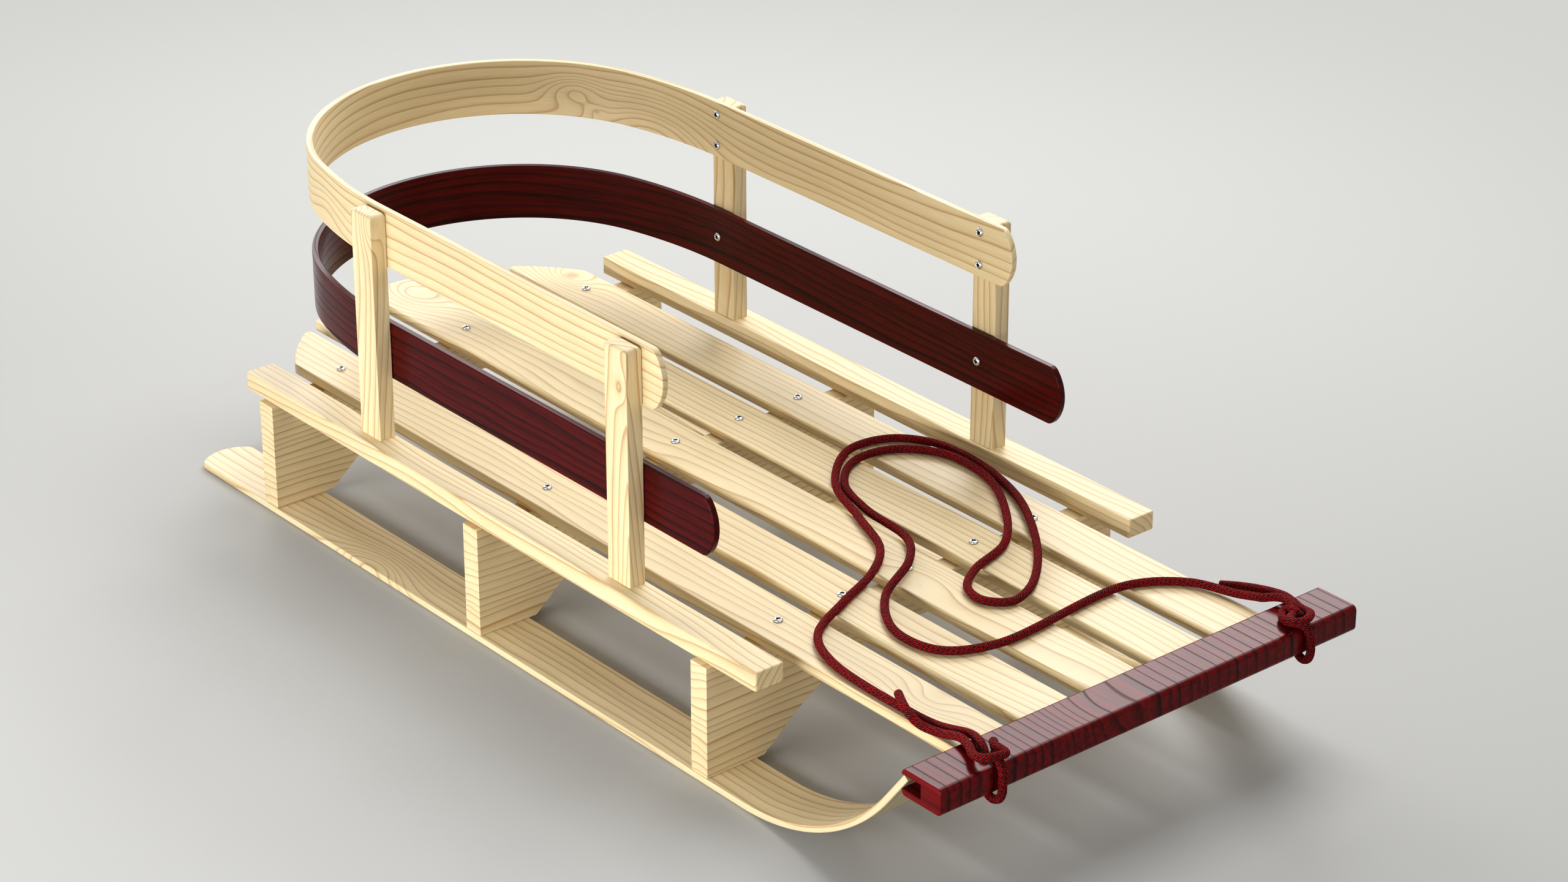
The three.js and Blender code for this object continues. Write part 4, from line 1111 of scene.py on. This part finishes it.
def recess(x, y):
    """How deep the cross recess is at a point of the head."""
    arms = []
    for along, out in ((abs(x), abs(y)), (abs(y), abs(x))):
        half_width = ARM_WIDTH + ARM_TAPER * (ARM_LENGTH - min(along, ARM_LENGTH))
        arms.append(max(along / ARM_LENGTH, out / half_width))
    inside = max(0.0, min(1.0, (WALL_TOP - min(arms)) / WALL_RUN))
    return RECESS_DEPTH * inside * inside * (3 - 2 * inside)


def screw_head(node, place):
    """A domed head with its recess, from rings of points round its crown."""
    bm = bmesh.new()
    layer = bm.verts.layers.float.new("recess")
    sides, rings = 48, 15
    crown = bm.verts.new((0, 0, DOME - RECESS_DEPTH))
    crown[layer] = 1.0
    grid = []
    for i in range(1, rings + 1):
        angle = math.pi / 2 * i / rings
        out, height = HEAD_RADIUS * math.sin(angle), DOME_RIM + (DOME - DOME_RIM) * math.cos(angle)
        ring = []
        for k in range(sides):
            turn = 2 * math.pi * k / sides
            x, y = out * math.cos(turn), out * math.sin(turn)
            ring.append(bm.verts.new((x, y, height - recess(x, y))))
            # Each point keeps its share of the recess's depth, which the chrome turns into painted shade
            ring[-1][layer] = recess(x, y) / RECESS_DEPTH
        grid.append(ring)
    grid.append([bm.verts.new((v.co.x, v.co.y, HEAD_FOOT)) for v in grid[-1]])
    for k in range(sides):
        following = (k + 1) % sides
        bm.faces.new((crown, grid[0][k], grid[0][following]))
        for ring, after in zip(grid, grid[1:]):
            bm.faces.new((ring[k], after[k], after[following], ring[following]))
    bm.faces.new(grid[-1])
    bmesh.ops.transform(bm, matrix=Matrix.Scale(MILLIMETRE, 4) @ place, verts=bm.verts)
    return finished(node, "head", bm, chrome)


DECK_SEAT, HOOP_SEAT = 100.6, 157.19
FIRST_TURN, DECK_TURN, HOOP_TURN = 0.4, 1.9, 1.3
UPPER_ROW, SECOND_ROW, LOWER_ROW = 0.78, 0.22, 0.5
count = 0
for number, x in enumerate(SLAT_PLACES, 1):
    for label, y in BOLSTER_PLACES.items():
        turned = Matrix.Rotation(DECK_TURN * count + FIRST_TURN, 4, "Z")
        screw_head(f"deck_screw_{number}_{label}", Matrix.Translation((x, y, DECK_SEAT)) @ turned)
        count += 1
heights = {
    "upper": UPPER_BOTTOM + UPPER_ROW * HOOP_HEIGHT,
    "second": UPPER_BOTTOM + SECOND_ROW * HOOP_HEIGHT,
    "lower": LOWER_BOTTOM + LOWER_ROW * HOOP_HEIGHT,
}
for name, side in SIDES.items():
    for where, y in POST_PLACES.items():
        for label, z in heights.items():
            facing = Matrix.Rotation(-side * math.pi / 2, 4, "Y") @ Matrix.Rotation(HOOP_TURN * count, 4, "Z")
            place = Matrix.Translation((side * HOOP_SEAT, y, z)) @ facing
            screw_head(f"hoop_screw_{name}_{where}_{label}", place)
            count += 1
print(count, "screws turned")

# %% [markdown]
# ## Hidden hardware
# The runner screws come up from below, and dowels peg the rails. Their CAD shapes are right, so they
# stay, and only get a finish: dull zinc on the screws, plain wood on the dowels.

# %% Finish the runner screws and the dowels
zinc = metal_finish("dull_zinc", 1500.0, ("8d8f8c", "b3b4ae"), (0.3, 0.5))
dowel_wood = pale_wood_finish("dowel_wood", place_of=own_place)
hidden_finishes = {"runner_screw": zinc, "rail_dowel": dowel_wood}
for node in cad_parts:
    finish = next((made for start, made in hidden_finishes.items() if node.startswith(start)), None)
    if finish:
        mesh = bpy.data.objects[node].data
        mesh.materials.clear()
        mesh.materials.append(finish)
        print(node, "finished in", finish.name)

# %% [markdown]
# ## Floor and light
# The sledge stands on a plain pale floor. One big lamp would leave the sides too dark, and a bright
# world would take away all shadows. So five soft lamps share the work: a low strip lights the near
# side's upright faces, and the others stand in front, above the deck, behind and at the far side, where
# the last one also lays the sheen on the bar. A dim world fills the shadows. Far from the lamps the
# floor would sink into grey, and more light there would also fall on the sledge. So beyond its shadow
# the floor fades to an even pale colour, which only the rays that make the picture can see.

# %% Lay the floor and set the lamps
def rays_that_show(tree):
    """1 for the rays that bring a picture: straight to the camera, off a gloss or through glass."""
    seen = add(tree, "LightPath").outputs
    shown = work_out(tree, "MAXIMUM", seen["Is Camera Ray"], seen["Is Glossy Ray"])
    return work_out(tree, "MAXIMUM", shown, seen["Is Transmission Ray"])


BACKDROP, DIM_ROOM = "d4d4d1", (0.14, 0.137, 0.133)
FLOOR_RADIUS, FLOOR_DROP, FADE_START, FADE_END = 9.0, 0.0003, 0.6, 1.6
floor_finish, tree, shader = new_finish("pale_floor")
shown = rays_that_show(tree)
fill(tree, shader, (("Base Color", blend(tree, shown, "9a9a99", "b6b6b4")), ("Roughness", 0.8)))
distance = length_of(tree, own_place(tree))
fade_span = (("Value", distance), ("From Min", FADE_START), ("From Max", FADE_END))
far_off = add(tree, "MapRange", fade_span, interpolation_type="SMOOTHSTEP").outputs[0]
glow = add(tree, "Emission", (("Color", paint(BACKDROP)),)).outputs[0]
glow_share = work_out(tree, "MULTIPLY", shown, far_off)
fading = add(tree, "MixShader", ((0, glow_share), (1, shader.outputs[0]), (2, glow))).outputs[0]
tree.links.new(fading, tree.nodes["Material Output"].inputs["Surface"])
bm = bmesh.new()
bmesh.ops.create_circle(bm, cap_ends=True, segments=96, radius=FLOOR_RADIUS)
bmesh.ops.translate(bm, verts=bm.verts, vec=(0, 0, -FLOOR_DROP))
floor = add_object("pale_floor", bm)
floor.data.materials.append(floor_finish)

world = bpy.data.worlds.new("soft_room")
bpy.context.scene.world = world
world.use_nodes = True
tree = world.node_tree
surroundings = blend(tree, rays_that_show(tree), DIM_ROOM, BACKDROP)
tree.links.new(surroundings, tree.nodes["Background"].inputs["Color"])


def soft_lamp(name, spot, target, size, power):
    lamp = bpy.data.lights.new(name, "AREA")
    lamp.shape, lamp.energy = "RECTANGLE", power
    lamp.size, lamp.size_y = size
    made = bpy.data.objects.new(name, lamp)
    made.location = spot
    made.visible_camera = False
    made.rotation_euler = (Vector(target) - Vector(spot)).to_track_quat("-Z", "Y").to_euler()
    bpy.context.scene.collection.objects.link(made)
    return made


SLEDGE_MIDDLE, BAR_MIDDLE = (0, 0, 0.12), (0, -0.43, 0.1)
strip = soft_lamp("near_side_strip", (-1.0, -0.05, 0.22), SLEDGE_MIDDLE, (1.4, 0.3), 5.0)
strip.data.spread = math.radians(100)
soft_lamp("front_lamp", (-0.1, -1.9, 1.0), SLEDGE_MIDDLE, (1.0, 1.0), 6.0)
soft_lamp("overhead_lamp", (0.9, 0.1, 1.8), SLEDGE_MIDDLE, (1.2, 1.2), 27)
soft_lamp("rear_lamp", (0.45, 1.85, 1.0), SLEDGE_MIDDLE, (1.2, 1.2), 22)
soft_lamp("far_side_lamp", (1.67, 1.2, 1.42), BAR_MIDDLE, (1.0, 0.7), 22)
bpy.context.scene.view_settings.view_transform = "Standard"
print("stage lit by", len(bpy.data.lights), "lamps")
